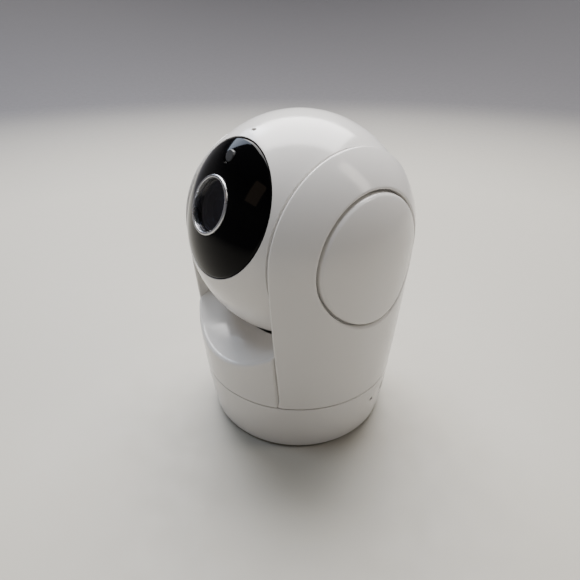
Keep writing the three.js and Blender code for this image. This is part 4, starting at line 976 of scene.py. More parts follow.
@dataclass
class Ball:
    """The head's ball: two white shells with flats where the arms stand.

    Attributes:
        radius: the ball's radius.
        flat: how far out the flats are.
        split: level of the seam between the shells, along the lens axis.
        face: radius of the face plate.
        axle: radius of the axle's hole.
        flat_edge: radius that rounds the edge of each flat.
        flat_inset: how far the flats are set in, so that the seam by the arms shows dark.
        mouth: radius that rounds the face's opening.
        face_gap: gap round the face plate.
        seam: half of the gap between the shells.
        seam_edge: bevel along that gap.
        mic_deg: angle from the lens axis up to the microphone's slot.
        mic_size: the slot's length and width.
        mic_cut: levels between which the slot is cut.
        boot_z: levels of the microphone's boot.
        boot_gap: gap round the boot.
        inner_edge: radius of the edge inside each flat.
        room_bottom: level at which the cutter of the face's opening starts.
        wide: a reach that is past the ball in every direction.
    """

    radius: float = field(default_factory=lambda: float(np.linalg.norm(
        node_points("head_front_shell") - HEAD.origin, axis=1).max()))
    flat: float = field(default_factory=lambda: float(node_box("head_front_shell")[1][0]))
    split: float = field(default_factory=lambda: float(
        node_box("head_rear_shell", HEAD)[1][2] + node_box("head_front_shell", HEAD)[0][2]) / 2)
    face: float = field(default_factory=lambda: node_reach("face_plate", HEAD))
    axle: float = 6.3
    flat_edge: float = 0.35
    flat_inset: float = 0.4
    mouth: float = 0.3
    face_gap: float = 0.16
    seam: float = 0.12
    seam_edge: float = 0.3
    mic_deg: float = 39.6
    mic_size: tuple[float, float] = (2.2, 1.3)
    mic_cut: tuple[float, float] = (37.0, 44.0)
    boot_z: tuple[float, float] = (38.9, 40.1)
    boot_gap: float = 0.12
    inner_edge: float = 1.0
    room_bottom: float = 18.0
    wide: float = 60.0

    def section(self, inset: float, edge: float, steps: int, bore: float = 0.0) -> np.ndarray:
        """Half section of a ball with two flats: an arc rounds the edge between ball and flat.

        Args:
            inset: how far the section lies inside the ball's outside.
            edge: radius that rounds the edge of each flat.
            steps: points along the ball.
            bore: radius of the hole from flat to flat, 0 for none.

        Returns:
            The points [radius, along the axis], from one flat to the other.
        """
        radius, flat = self.radius - inset, self.flat - self.flat_inset - inset
        middle = math.sqrt((radius - edge) ** 2 - (flat - edge) ** 2)
        start = math.atan2(flat - edge, middle)
        curve = np.linspace(math.pi / 2, start, ARC + 1)
        lip = np.c_[middle + edge * np.cos(curve), flat - edge + edge * np.sin(curve)]
        latitude = np.linspace(start, -start, steps)[1:-1]
        ball = radius * np.c_[np.cos(latitude), np.sin(latitude)]
        return np.concatenate([[[bore, flat]], lip, ball, lip[::-1] * [1, -1], [[bore, -flat]]])

    def openings(self) -> bpy.types.Object:
        """Cutter for the front shell's openings: the face's round one and the microphone's slot.

        Returns:
            The cutter.
        """
        opening = self.face + self.face_gap
        rim = math.sqrt(self.radius**2 - (opening + self.mouth) ** 2)
        face = drill(opening, self.room_bottom, rim, self.mouth, HEAD, FINE)
        return joined([face, prism("cutter", self.slot(0.0), *self.mic_cut, self.mic_place())])

    def mic_place(self) -> Placement:
        """Frame of the microphone's slot: the lens axis turned up about the tilt axis.

        Returns:
            The frame, with z out through the slot.
        """
        angle = math.radians(self.mic_deg)
        out = math.cos(angle) * HEAD.z + math.sin(angle) * HEAD.y
        return Placement(HEAD.origin, HEAD.x, np.cross(out, HEAD.x), out)

    def slot(self, inset: float) -> np.ndarray:
        """Outline of the microphone's slot: two half circles set apart.

        Args:
            inset: how far the outline is set inwards.

        Returns:
            The outline's points.
        """
        long, wide = self.mic_size
        turn = np.linspace(0, 2 * math.pi, COARSE, endpoint=False) + 0.01
        shift = np.sign(np.cos(turn)) * (long - wide) / 2
        radius = wide / 2 - inset
        return np.c_[radius * np.cos(turn) + shift, radius * np.sin(turn)]

    def half_space(self, ahead: bool) -> bpy.types.Object:
        """Cutter for all on one side of the seam, with a cone that eases the seam's edge.

        Args:
            ahead: whether the shell ahead of the seam is the one to keep.

        Returns:
            The cutter.
        """
        sign = 1.0 if ahead else -1.0
        at_edge = math.sqrt(self.radius**2 - self.split**2) - self.seam_edge
        plane = self.split + sign * self.seam
        cone = plane + sign * (self.wide - at_edge)
        end = -sign * self.wide
        profile = [[0, end], [self.wide, end], [self.wide, cone], [at_edge, plane], [0, plane]]
        return turned("cutter", np.array(profile), HEAD, FINE)

    def build(self) -> None:
        """Makes both shells of the ball."""
        across = Placement(HEAD.origin, unit(0, 1, 0), unit(0, 0, 1), unit(1, 0, 0))
        for name, ahead in (("head_front_shell", True), ("head_rear_shell", False)):
            section = self.section(0.0, self.flat_edge, 170, self.axle)
            made = turned(f"{name}_skin", section, across, FINE)
            inside = turned("cutter", self.section(WALL, self.inner_edge, 60), across, MEDIUM)
            first = [self.openings()] if ahead else []
            cut(made, [*first, inside, self.half_space(ahead)])
            true_ball(made, HEAD.origin, self.radius)
            add_piece(made, "head", "white_abs", name)
        boot = prism("microphone_boot", self.slot(self.boot_gap), *self.boot_z, self.mic_place())
        add_piece(boot, "head", "rubber")


def true_ball(made: bpy.types.Object, middle: np.ndarray, radius: float) -> None:
    """Gives the corners that lie on a ball its exact normals, so that cuts don't dent its shine.

    Args:
        made: the piece.
        middle: the ball's middle in millimetres.
        radius: the ball's radius.
    """
    mesh = made.data
    places, normals = np.zeros(len(mesh.vertices) * 3), np.zeros(len(mesh.loops) * 3)
    corner = np.zeros(len(mesh.loops), int)
    mesh.vertices.foreach_get("co", places)
    mesh.corner_normals.foreach_get("vector", normals)
    mesh.loops.foreach_get("vertex_index", corner)
    away = (places.reshape(-1, 3) / MM - middle)[corner]
    reach = np.linalg.norm(away, axis=1, keepdims=True)
    normals = normals.reshape(-1, 3)
    facing_out = (normals * away / reach).sum(axis=1) > 0.97
    exact = facing_out & (np.abs(reach[:, 0] - radius) < 0.02)
    normals[exact] = (away / reach)[exact]
    mesh.normals_split_custom_set(normals.tolist())


@dataclass
class Face:
    """The dark face plate and the lens behind its window, all turned round the lens axis.

    Attributes:
        radius: the plate's radius.
        ring: the lens ring's outer radius.
        ring_low: level of its back.
        ring_top: level of its front.
        window: the window's radius.
        window_top: level of its front.
        barrel: the barrel's radius.
        barrel_z: levels of its back and front.
        glass: the front lens's radius.
        glass_z: levels of its back and front.
        edge_z: level of the back of the plate's edge.
        curve: radius of the plate's dome.
        thick: the plate's thickness.
        plate_edge: radius of its edge.
        step: longest step along its section.
        hole_gap: gap round the ring.
        ring_wall: the ring's wall.
        sensor_up: how far above the lens the light sensor is.
        sensor_hole: radius of its hole.
        barrel_bore: radius of the barrel's bore.
        glass_bulge: how far the front lens bulges.
    """

    radius: float = field(default_factory=lambda: node_reach("face_plate", HEAD))
    ring: float = field(default_factory=lambda: node_reach("lens_ring", HEAD))
    ring_low: float = field(default_factory=lambda: float(node_box("lens_ring", HEAD)[0][2]))
    ring_top: float = field(default_factory=lambda: float(node_box("lens_ring", HEAD)[1][2]))
    window: float = field(default_factory=lambda: node_reach("lens_window", HEAD))
    window_top: float = field(default_factory=lambda: float(node_box("lens_window", HEAD)[1][2]))
    barrel: float = field(default_factory=lambda: node_reach("lens_barrel", HEAD))
    barrel_z: tuple[float, float] = field(default_factory=lambda: tuple(
        float(corner[2]) for corner in node_box("lens_barrel", HEAD)))
    glass: float = field(default_factory=lambda: node_reach("lens_glass", HEAD))
    glass_z: tuple[float, float] = field(default_factory=lambda: tuple(
        float(corner[2]) for corner in node_box("lens_glass", HEAD)))
    edge_z: float = field(default_factory=lambda: float(node_box("face_plate", HEAD)[0][2]))
    curve: float = 42.0
    thick: float = 2.0
    plate_edge: float = 0.55
    step: float = 0.7
    hole_gap: float = 0.08
    ring_wall: float = 1.05
    sensor_up: float = 16.2
    sensor_hole: float = 2.35
    barrel_bore: float = 5.6
    glass_bulge: float = 1.6

    def dome(self, radius: np.ndarray) -> np.ndarray:
        """Level of the plate's outside: a circle that falls to the plate's edge."""
        edge = self.edge_z + self.thick - math.sqrt(self.curve**2 - self.radius**2)
        return edge + np.sqrt(self.curve**2 - np.asarray(radius) ** 2)

    def domed(self, profile: np.ndarray) -> np.ndarray:
        """Bends a flat section onto the plate's dome: each point is raised by the dome's level there.

        Args:
            profile: a closed section [radius, level below the dome].

        Returns:
            The bent section, in short steps.
        """
        profile = spread(np.concatenate([profile, profile[:1]]), self.step)[:-1]
        profile[:, 1] += self.dome(profile[:, 0])
        return profile

    def plate(self) -> None:
        """Plate: a domed ring with the light sensor's hole."""
        hole = self.ring + self.hole_gap
        corners = [[hole, -self.thick], [self.radius, -self.thick], [self.radius, 0], [hole, 0]]
        section = self.domed(rounded(corners, [0.2, 0.2, self.plate_edge, 0.15]))
        made = turned("face_plate_skin", section, HEAD, FINE)
        level = float(self.dome(self.sensor_up))
        cut(made, [drill(self.sensor_hole, 20.0, level + 0.1, 0.2, HEAD.moved(y=self.sensor_up), 64)])
        add_piece(made, "head", "black_gloss", "face_plate")

    def trim(self) -> None:
        """Ring round the window: thin, with a rounded front and a step inside."""
        inner = self.ring - self.ring_wall
        corners = [[inner, self.ring_low], [self.ring, self.ring_low], [self.ring, self.ring_top]]
        corners += [[inner + 0.1, self.ring_top], [inner, self.window_top + 0.3]]
        section = rounded(corners, [0.1, 0.1, 0.42, 0.25, 0.1])
        add_piece(turned("lens_ring_skin", section, HEAD, FINE), "head", "chrome", "lens_ring")

    def optics(self) -> None:
        """Window, stepped barrel and front glass of the lens."""
        low = float(node_box("lens_window", HEAD)[0][2])
        corners = [[0, low], [self.window, low], [self.window, self.window_top], [0, self.window_top]]
        section = rounded(corners, [0, 0.08, 0.12, 0], closed=False)
        add_piece(turned("lens_window_skin", section, HEAD, FINE), "head", "lens_glass", "lens_window")
        low, top = self.barrel_z
        bore, seat = self.barrel_bore, self.glass_z[0] - 1.4
        steps = [[0, low], [self.barrel, low], [self.barrel, top], [self.barrel - 0.9, top]]
        steps += [[self.barrel - 1.1, top - 0.6], [bore + 0.5, top - 0.6], [bore + 0.15, top - 2.2]]
        steps += [[bore, top - 2.2], [bore, seat], [bore - 1.4, seat]]
        steps += [[bore - 1.4, low + 1.6], [0, low + 1.6]]
        section = rounded(steps, [0, 0.2, 0.3, 0.1, 0.1, 0.1, 0.1, 0.1, 0.1, 0.1, 0.1, 0], closed=False)
        add_piece(turned("lens_barrel_skin", section, HEAD, FINE), "head", "black_plastic", "lens_barrel")
        low, top = self.glass_z
        radius = self.glass - 0.02
        bulge = (radius**2 + self.glass_bulge**2) / (2 * self.glass_bulge)
        share = np.linspace(0, 1, 32)
        front = np.c_[radius * share, top - bulge + np.sqrt(bulge**2 - (radius * share) ** 2)]
        section = np.concatenate([front, [[radius, low + 0.4], [radius - 0.4, low], [0, low]]])
        add_piece(turned("lens_glass_skin", section, HEAD, FINE), "head", "lens_glass", "lens_glass")

    def sensor(self) -> None:
        """Light sensor: a small grey window with a domed front, set back in the plate."""
        low, top = node_box("light_sensor", HEAD)
        radius, place = float(top[0]), HEAD.moved(y=self.sensor_up)
        corners = [[0, low[2]], [radius, low[2]], [radius, top[2]], [0, top[2]]]
        section = rounded(corners, [0, 0.1, 0.35, 0], closed=False)
        add_piece(turned("light_sensor_skin", section, place, 64), "head", "sensor", "light_sensor")

    def build(self) -> None:
        """Makes the plate and all that shows in it."""
        self.plate()
        self.trim()
        self.optics()
        self.sensor()


# ---- Base ------------------------------------------------------------------------------------
@dataclass
class Base:
    """The base's round shell, its plate with keyhole slots, feet, screws, button and socket.

    Attributes:
        foot: the shell's radius at the bottom.
        top: its radius at the seam.
        levels: its lowest and highest level.
        plate: the bottom plate's radius.
        foot_edge: radius of the shell's bottom edge.
        seam_edge: radius of its top edge.
        jack_hole: radius of the hole for the power socket.
        pin_hole: radius of the hole for the reset pin.
        keyhole: radius of a keyhole's head, half the width of its slot, and the slot's length.
        keyhole_at: place of the right keyhole, seen from below.
        swell: power of the outside's curve.
        narrows: levels between which the inside narrows down to the plate.
        screw_seat: radii of a screw's hole and of the seat for its head.
        foot_seat: radius of a foot's seat.
        foot_pad: a foot's radius and height.
        seat_z: level of the seats.
        button_hole: radius of the pair button's hole.
        socket_bore: radius of the socket's bore.
        pin: radius of its pin.
    """

    foot: float = field(default_factory=lambda: reach_at_end("base_shell", False))
    top: float = field(default_factory=lambda: reach_at_end("base_shell", True))
    levels: tuple[float, float] = field(default_factory=lambda: tuple(
        float(corner[2]) for corner in node_box("base_shell")))
    plate: float = field(default_factory=lambda: node_size("base_plate", 0) / 2)
    foot_edge: float = 0.9
    seam_edge: float = 0.55
    jack_hole: float = 3.0
    pin_hole: float = 0.9
    keyhole: tuple[float, float, float] = (4.0, 2.1, 8.0)
    keyhole_at: tuple[float, float] = (15.0, 2.0)
    swell: float = 1.3
    narrows: tuple[float, float] = (4.2, 12.0)
    screw_seat: tuple[float, float] = (1.3, 2.7)
    foot_seat: float = 3.65
    foot_pad: tuple[float, float] = (3.5, 1.7)
    seat_z: float = 1.75
    button_hole: float = 3.7
    socket_bore: float = 2.35
    pin: float = 0.65

    def outer(self, z: np.ndarray) -> np.ndarray:
        """Radius of the outside at a height: a power curve that is widest at the seam.

        Args:
            z: heights.

        Returns:
            The radii.
        """
        low, high = self.levels
        share = np.clip((high - np.asarray(z, float)) / (high - low), 0, 1)
        return self.top - (self.top - self.foot) * share**self.swell

    def toward(self, node: str) -> Placement:
        """Frame whose z runs out from the axis through a node, at the node's height."""
        middle = node_middle(node)
        return facing(unit(middle[0], middle[1], 0), np.array([0, 0, middle[2]]))

    def shell(self) -> None:
        """Round wall with a rounded foot, and holes for the power socket and the reset pin."""
        low, high = self.levels
        z = np.linspace(low, high, 24)[1:-1]
        wall = np.c_[self.outer(z), z]
        inside = self.plate + GAP
        corners = [[inside, low], [self.foot, low], *wall.tolist(), [self.top, high]]
        near, far = self.narrows
        corners += [[self.top - WALL, high], [self.top - WALL - 0.1, far], [inside, near]]
        radii = [0.3, self.foot_edge] + [0] * len(z) + [self.seam_edge, 0.3, 0, 0.1]
        made = turned("base_shell_skin", rounded(corners, radii), upright(), FINE)
        cutters = []
        holes = (("power_jack", self.jack_hole, 0.45), ("reset_switch", self.pin_hole, 0.25))
        for node, radius, flare in holes:
            place = self.toward(node)
            cutters.append(drill(radius, 30.0, float(self.outer(place.origin[2])) - 0.02, flare, place, 64))
        cut(made, cutters)
        add_piece(made, "base", "white_abs", "base_shell")

    def floor(self) -> None:
        """Flat plate under the base: slots to hang it by, seats for feet, screws and the button."""
        low, top = (float(corner[2]) for corner in node_box("base_plate"))
        edge = 0.35
        corners = [[0, low], [self.plate, low], [self.plate, top], [0, top]]
        section = spread(rounded(corners, [0, edge, 0.2, 0], closed=False), 3.0)
        made = turned("base_plate_skin", section, upright(), FINE)
        down = Placement(np.zeros(3), unit(1, 0, 0), unit(0, -1, 0), unit(0, 0, -1))
        round_head, half, long = self.keyhole
        cutters = []
        across, up = self.keyhole_at
        for x in (-across, across):
            place = down.moved(x, up)
            turn = np.linspace(0, 2 * math.pi, 128, endpoint=False)
            head = round_head * np.stack([np.cos(turn), np.sin(turn)], 1)
            slot_y = -long - np.sqrt(np.clip(half**2 - head[:, 0] ** 2, 0, None))
            in_slot = (np.abs(head[:, 0]) < half) & (head[:, 1] < 0)
            head[in_slot, 1] = slot_y[in_slot]
            cutters.append(prism("cutter", head, -6.0, 2.0, place))
        for index in (1, 2, 3):
            x, y, _ = node_middle(f"base_screw_{index}")
            bore, seat = self.screw_seat
            lip = [[seat, -low - 0.3], [seat + 0.05, -low - 0.1], [seat + 0.2, -low]]
            lip += [[seat + 0.2, 2], [0, 2]]
            stepped = np.array([[0, -4], [bore, -4], [bore, -self.seat_z], [seat, -self.seat_z], *lip])
            cutters.append(turned("cutter", stepped, down.moved(x, -y), 48))
        for index in (1, 2, 3, 4):
            x, y, _ = node_middle(f"foot_pad_{index}")
            cutters.append(drill(self.foot_seat, -self.seat_z, -low, 0.2, down.moved(x, -y), 48))
        x, y, _ = self.button_middle()
        cutters.append(drill(self.button_hole, -6.0, -low, 0.35, down.moved(x, -y), 64))
        cut(made, [joined(cutters)])
        add_piece(made, "base", "white_abs", "base_plate")

    def button_middle(self) -> tuple[float, float, float]:
        """Middle of the pair button's round head, which is its widest part at the bottom.

        Returns:
            The middle's x and y, and the head's lowest level.
        """
        points = node_points("pair_button")
        head = points[points[:, 2] < points[:, 2].min() + 0.4]
        middle = (head.min(axis=0) + head.max(axis=0)) / 2
        return float(middle[0]), float(middle[1]), float(head[:, 2].min())

    def fittings(self) -> None:
        """Feet with moulded rings, screws with cross slots, a dished button and the socket."""
        for index in (1, 2, 3, 4):
            x, y, _ = node_middle(f"foot_pad_{index}")
            pad, top = self.foot_pad
            ring = [[0, 0.22], [2.2, 0.22], [2.35, 0], [pad, 0], [pad, top], [0, top]]
            section = rounded(ring, [0, 0.1, 0.12, 0.4, 0.05, 0], closed=False)
            made = turned(f"foot_pad_{index}_skin", section, upright(x, y), 64)
            add_piece(made, "base", "rubber", f"foot_pad_{index}")
        for index in (1, 2, 3):
            low, high = node_box(f"base_screw_{index}")
            self.screw(f"base_screw_{index}", (low + high) / 2, float(low[2]), 1, "base")
        x, y, low = self.button_middle()
        dish = [[0, low + 0.35], [1.4, low + 0.28], [2.5, low + 0.05], [3.4, low], [3.4, low + 1.3]]
        dish += [[2.2, low + 1.5], [2.2, low + 5.2], [0, low + 5.2]]
        section = rounded(dish, [0, 0.6, 0.4, 0.3, 0.1, 0.1, 0.2, 0], closed=False)
        made = turned("pair_button_skin", section, upright(x, y), 64)
        add_piece(made, "pair_button", "grey_abs", "pair_button")
        self.socket()

    def screw(self, node: str, middle: np.ndarray, head_z: float, up: int, body: str) -> None:
        """Screw: a domed head with a cross slot, and a shank with thread rings.

        Args:
            node: the frame node it stands for.
            middle: middle of that node.
            head_z: level of the head's outer face.
            up: 1 if the shank runs up from the head, -1 if it runs down.
            body: the body it rides on.
        """
        radius = node_size(node, 0) / 2
        length = node_size(node, 2)
        origin = np.array([middle[0], middle[1], head_z])
        place = Placement(origin, unit(1, 0, 0), unit(0, up, 0), unit(0, 0, up))
        thread = np.arange(3.0, length - 1.2, 0.9)
        root, crest = np.full_like(thread, 1.0), np.full_like(thread, 1.22)
        ridges = np.stack([np.c_[root, thread], np.c_[crest, thread + 0.45]], 1)
        profile = [[0, 0.0], [radius * 0.55, 0.08], [radius, 0.55], [radius, 1.3], [1.0, 1.7]]
        profile += ridges.reshape(-1, 2).tolist() + [[1.0, length - 0.9], [0, length]]
        made = turned(f"{node}_skin", np.array(profile), place, 48)
        bars = [prism("cutter", np.array([[-a, -b], [a, -b], [a, b], [-a, b]]), -1.0, 0.75, place)
                for a, b in ((1.25, 0.26), (0.26, 1.25))]
        cut(made, bars)
        add_piece(made, body, "steel", node)

    def socket(self) -> None:
        """Power socket: a black block with a round bore and a steel pin in the middle."""
        place = self.toward("power_jack")
        low, high = node_box("power_jack", place)
        half = float(high[1])
        front, back = float(high[2]), float(low[2])
        outline = rounded([[-half, -half], [half, -half], [half, half], [-half, half]], [0.5] * 4)
        made = prism("power_jack_skin", outline, back, front, place)
        cut(made, [drill(self.socket_bore, back + 2.0, front - 0.02, 0.2, place, 64)])
        add_piece(made, "base", "black_plastic", "power_jack")
        low, high = back + 1.8, front - 1.6
        pin = rounded([[0, low], [self.pin, low], [self.pin, high], [0, high]], [0, 0, 0.3, 0], closed=False)
        add_piece(turned("power_jack_pin", pin, place, COARSE), "base", "steel")

    def build(self) -> None:
        """Makes every piece of the base that can be seen from outside."""
        self.shell()
        self.floor()
        self.fittings()


# ---- Finishes --------------------------------------------------------------------------------
def linear(colour: str) -> tuple[float, float, float, float]:
    """A hex sRGB colour as linear light: the standard power curve, straight below 0.04045.

    Args:
        colour: the colour, as # and six hex digits.

    Returns:
        Red, green, blue and an alpha of one.
    """
    value = np.array([int(colour[i:i + 2], 16) for i in (1, 3, 5)]) / 255
    value = np.where(value <= 0.04045, value / 12.92, ((value + 0.055) / 1.055) ** 2.4)
    return (*value.tolist(), 1.0)


def add_node(tree: bpy.types.NodeTree, kind: str, inputs: dict | None = None, **settings) -> bpy.types.Node:
    """Adds a shader node, sets its options, and sets or links its inputs.

    Args:
        tree: the material's or the world's nodes.
        kind: the node's type name.
        inputs: a value for each input, or the output to link to it, by name or number.
        settings: the node's options.

    Returns:
        The new node.
    """
    made = tree.nodes.new(kind)
    for name, value in settings.items():
        setattr(made, name, value)
    for name, value in (inputs or {}).items():
        if isinstance(value, bpy.types.NodeSocket):
            tree.links.new(value, made.inputs[name])
        else:
            made.inputs[name].default_value = value
    return made


class Relief(Enum):
    """Fine relief on a surface."""

    PEEL = "soft waves left by a polished mould"
    SPARK = "fine pits left by a spark-eroded mould"
    GRAIN = "soft, uneven grain"
    TURNED = "fine grooves round the lens axis"
    BRUSHED = "short scratches along one direction"
    SMOOTH = "none"


@dataclass(frozen=True)
class Finish:
    """How one material of the object looks.

    Attributes:
        real: what the real material is.
        colour: its hex sRGB colour.
        rough: its roughness.
        relief: its fine relief.
        size_mm: size of the relief's pattern.
        depth_mm: its depth.
        smudge: how far the roughness wanders in soft patches.
        metallic: 1 for a metal.
        ior: its index of refraction; a metal keeps the default.
        clear: how far light passes through.
        film_nm: thickness of an optical coating.
        shade: how much darker its darkest patches are.
        shine: strength of its mirror reflection, where 0.5 is what its index gives.
    """

    real: str
    colour: str
    rough: float
    relief: Relief = Relief.SMOOTH
    size_mm: float = 1.0
    depth_mm: float = 0.0
    smudge: float = 0.0
    metallic: float = 0.0
    ior: float = 1.5
    clear: float = 0.0
    film_nm: float = 0.0
    shade: float = 0.0
    shine: float = 0.5

    def height(self, tree: bpy.types.NodeTree, place: bpy.types.NodeSocket) -> bpy.types.NodeSocket:
        """Height pattern of the relief; a scale is one over the pattern's size in metres.

        Args:
            tree: the material's nodes.
            place: output that gives the place on the object.

        Returns:
            The output that gives the height.
        """
        scale = 1 / (self.size_mm * MM)
        if self.relief is Relief.TURNED:
            turn = (HEAD.origin * MM).tolist()
            tilt = math.atan2(float(HEAD.z[2]), float(-HEAD.z[1]))
            lens = add_node(tree, "ShaderNodeMapping", {"Vector": place, "Location": [-v for v in turn]})
            lens = add_node(tree, "ShaderNodeMapping", {"Vector": lens.outputs[0], "Rotation": (tilt, 0, 0)})
            lens = add_node(tree, "ShaderNodeMapping", {"Vector": lens.outputs[0], "Scale": (1, 0, 1)})
            rings = {"Vector": lens.outputs[0], "Scale": scale / 20, "Distortion": 0.0}
            made = add_node(tree, "ShaderNodeTexWave", rings, wave_type="RINGS", rings_direction="SPHERICAL")
            return made.outputs["Fac"]
        if self.relief is Relief.BRUSHED:
            place = add_node(tree, "ShaderNodeMapping", {"Vector": place, "Scale": (1, 14, 14)}).outputs[0]
        if self.relief is Relief.SPARK:
            pits = {"Vector": place, "Scale": scale, "Randomness": 1.0}
            return add_node(tree, "ShaderNodeTexVoronoi", pits, feature="SMOOTH_F1").outputs["Distance"]
        detail = {Relief.PEEL: 0.0, Relief.GRAIN: 4.0, Relief.BRUSHED: 2.0}[self.relief]
        waves = {"Vector": place, "Scale": scale, "Detail": detail, "Roughness": 0.5}
        return add_node(tree, "ShaderNodeTexNoise", waves).outputs["Fac"]

    def material(self, slot: str) -> bpy.types.Material:
        """Makes the material once and keeps it under the slot's name.

        Args:
            slot: the slot it belongs to.

        Returns:
            The material.
        """
        name = f"{slot} - {self.real}"
        if name in bpy.data.materials:
            return bpy.data.materials[name]
        made = bpy.data.materials.new(name)
        made.use_nodes = True
        tree = made.node_tree
        tree.nodes.clear()
        place = add_node(tree, "ShaderNodeTexCoord").outputs["Object"]
        inputs = {"Base Color": linear(self.colour), "Roughness": self.rough, "Metallic": self.metallic,
                  "Transmission Weight": self.clear, "Thin Film Thickness": self.film_nm,
                  "Thin Film IOR": FILM_IOR, "Specular IOR Level": self.shine}
        if not self.metallic:
            inputs["IOR"] = self.ior
        if self.smudge:
            patches = {"Vector": place, "Scale": 1 / (SMUDGE_MM * MM), "Detail": 3.0, "Roughness": 0.6}
            patch = add_node(tree, "ShaderNodeTexNoise", patches)
            spread_out = {"Value": patch.outputs["Fac"], "From Min": 0.3, "From Max": 0.7,
                          "To Min": self.rough - self.smudge / 2, "To Max": self.rough + self.smudge}
            inputs["Roughness"] = add_node(tree, "ShaderNodeMapRange", spread_out).outputs["Result"]
        if self.shade:
            tone = {"Vector": place, "Scale": 1 / (TONE_MM * MM), "Detail": 2.0}
            tone = add_node(tree, "ShaderNodeTexNoise", tone).outputs["Fac"]
            ramp = add_node(tree, "ShaderNodeValToRGB", {"Fac": tone})
            dark = [part * (1 - self.shade) for part in linear(self.colour)[:3]]
            ramp.color_ramp.elements[0].color = (*dark, 1.0)
            ramp.color_ramp.elements[1].color = linear(self.colour)
            inputs["Base Color"] = ramp.outputs["Color"]
        if self.relief is not Relief.SMOOTH:
            height = self.height(tree, place)
            bump = {"Height": height, "Strength": 1.0, "Distance": self.depth_mm * MM}
            inputs["Normal"] = add_node(tree, "ShaderNodeBump", bump).outputs["Normal"]
        surface = add_node(tree, "ShaderNodeBsdfPrincipled", inputs).outputs["BSDF"]
        add_node(tree, "ShaderNodeOutputMaterial", {"Surface": surface})
        return made

    def dress(self, made: bpy.types.Object, slot: str) -> None:
        """Gives an object this finish alone."""
        made.data.materials.clear()
        made.data.materials.append(self.material(slot))


FINISHES: dict[str, Finish] = {
    # Warm white with a polished mould's soft waves, so that reflections waver a little.
    "white_abs": Finish("gloss white ABS", "#E8E6E3", 0.14, Relief.PEEL, 4.0, 0.004, 0.05, ior=1.53),
    # Grey and matt, with fine pits that break up its shine.
    "grey_abs": Finish("spark-textured grey ABS", "#8B8E90", 0.5, Relief.SPARK, 0.35, 0.02, 0.08, ior=1.53),
    # Near black and mirror-like, as a smoked sheet with light swallowed inside.
    "black_gloss": Finish("smoked black acrylic", "#050506", 0.05, Relief.PEEL, 9.0, 0.003, 0.03, ior=1.49,
                          shine=0.1),
    # Flat black that swallows stray light round the lens.
    "black_plastic": Finish("matt black polycarbonate", "#101012", 0.45, Relief.SPARK, 0.3, 0.01, 0.05,
                            ior=1.58),
    # Bright silver with rings of fine grooves that draw the highlight out.
    "chrome": Finish("satin chrome plate", "#D4D6DA", 0.26, Relief.TURNED, 0.12, 0.003, 0.04, metallic=1.0),
    # Dull silver with short scratches.
    "steel": Finish("zinc-plated steel", "#A7A8AA", 0.3, Relief.BRUSHED, 0.5, 0.006, 0.1, metallic=1.0),
    # Clear and polished; its coating tints reflections blue.
    "lens_glass": Finish("coated optical glass", "#8A90A0", 0.01, Relief.PEEL, 12.0, 0.0003, clear=1.0,
                         film_nm=120.0, ior=1.46),
    # Dark, soft and uneven.
    "rubber": Finish("silicone rubber", "#2B2B2C", 0.62, Relief.GRAIN, 0.4, 0.03, 0.08, ior=1.43),
    # Milky, slightly waxy white.
    "acetal": Finish("natural acetal", "#E4E2DA", 0.32, Relief.GRAIN, 0.8, 0.006, 0.08, ior=1.48),
    # Green lacquer over glass cloth, with its weave just felt.
    "board": Finish("solder mask on glass epoxy", "#14512F", 0.32, Relief.GRAIN, 0.6, 0.01, 0.08, ior=1.55,
                    shade=0.3),
    # Faintly tinted and clear.
    "led_epoxy": Finish("cast epoxy", "#B9C4D8", 0.08, Relief.PEEL, 2.0, 0.002, 0.03, clear=0.85, ior=1.54),
    # Grey-black fibres pressed into a cone.
    "speaker_cone": Finish("pressed paper pulp", "#26262A", 0.8, Relief.GRAIN, 0.5, 0.05, 0.1, ior=1.45,
                           shade=0.4),
    # A grey diffusing window that shows paler than the plate round it.
    "sensor": Finish("diffusing grey acrylic", "#3E3F42", 0.34, Relief.GRAIN, 0.5, 0.004, 0.05, ior=1.49),
}


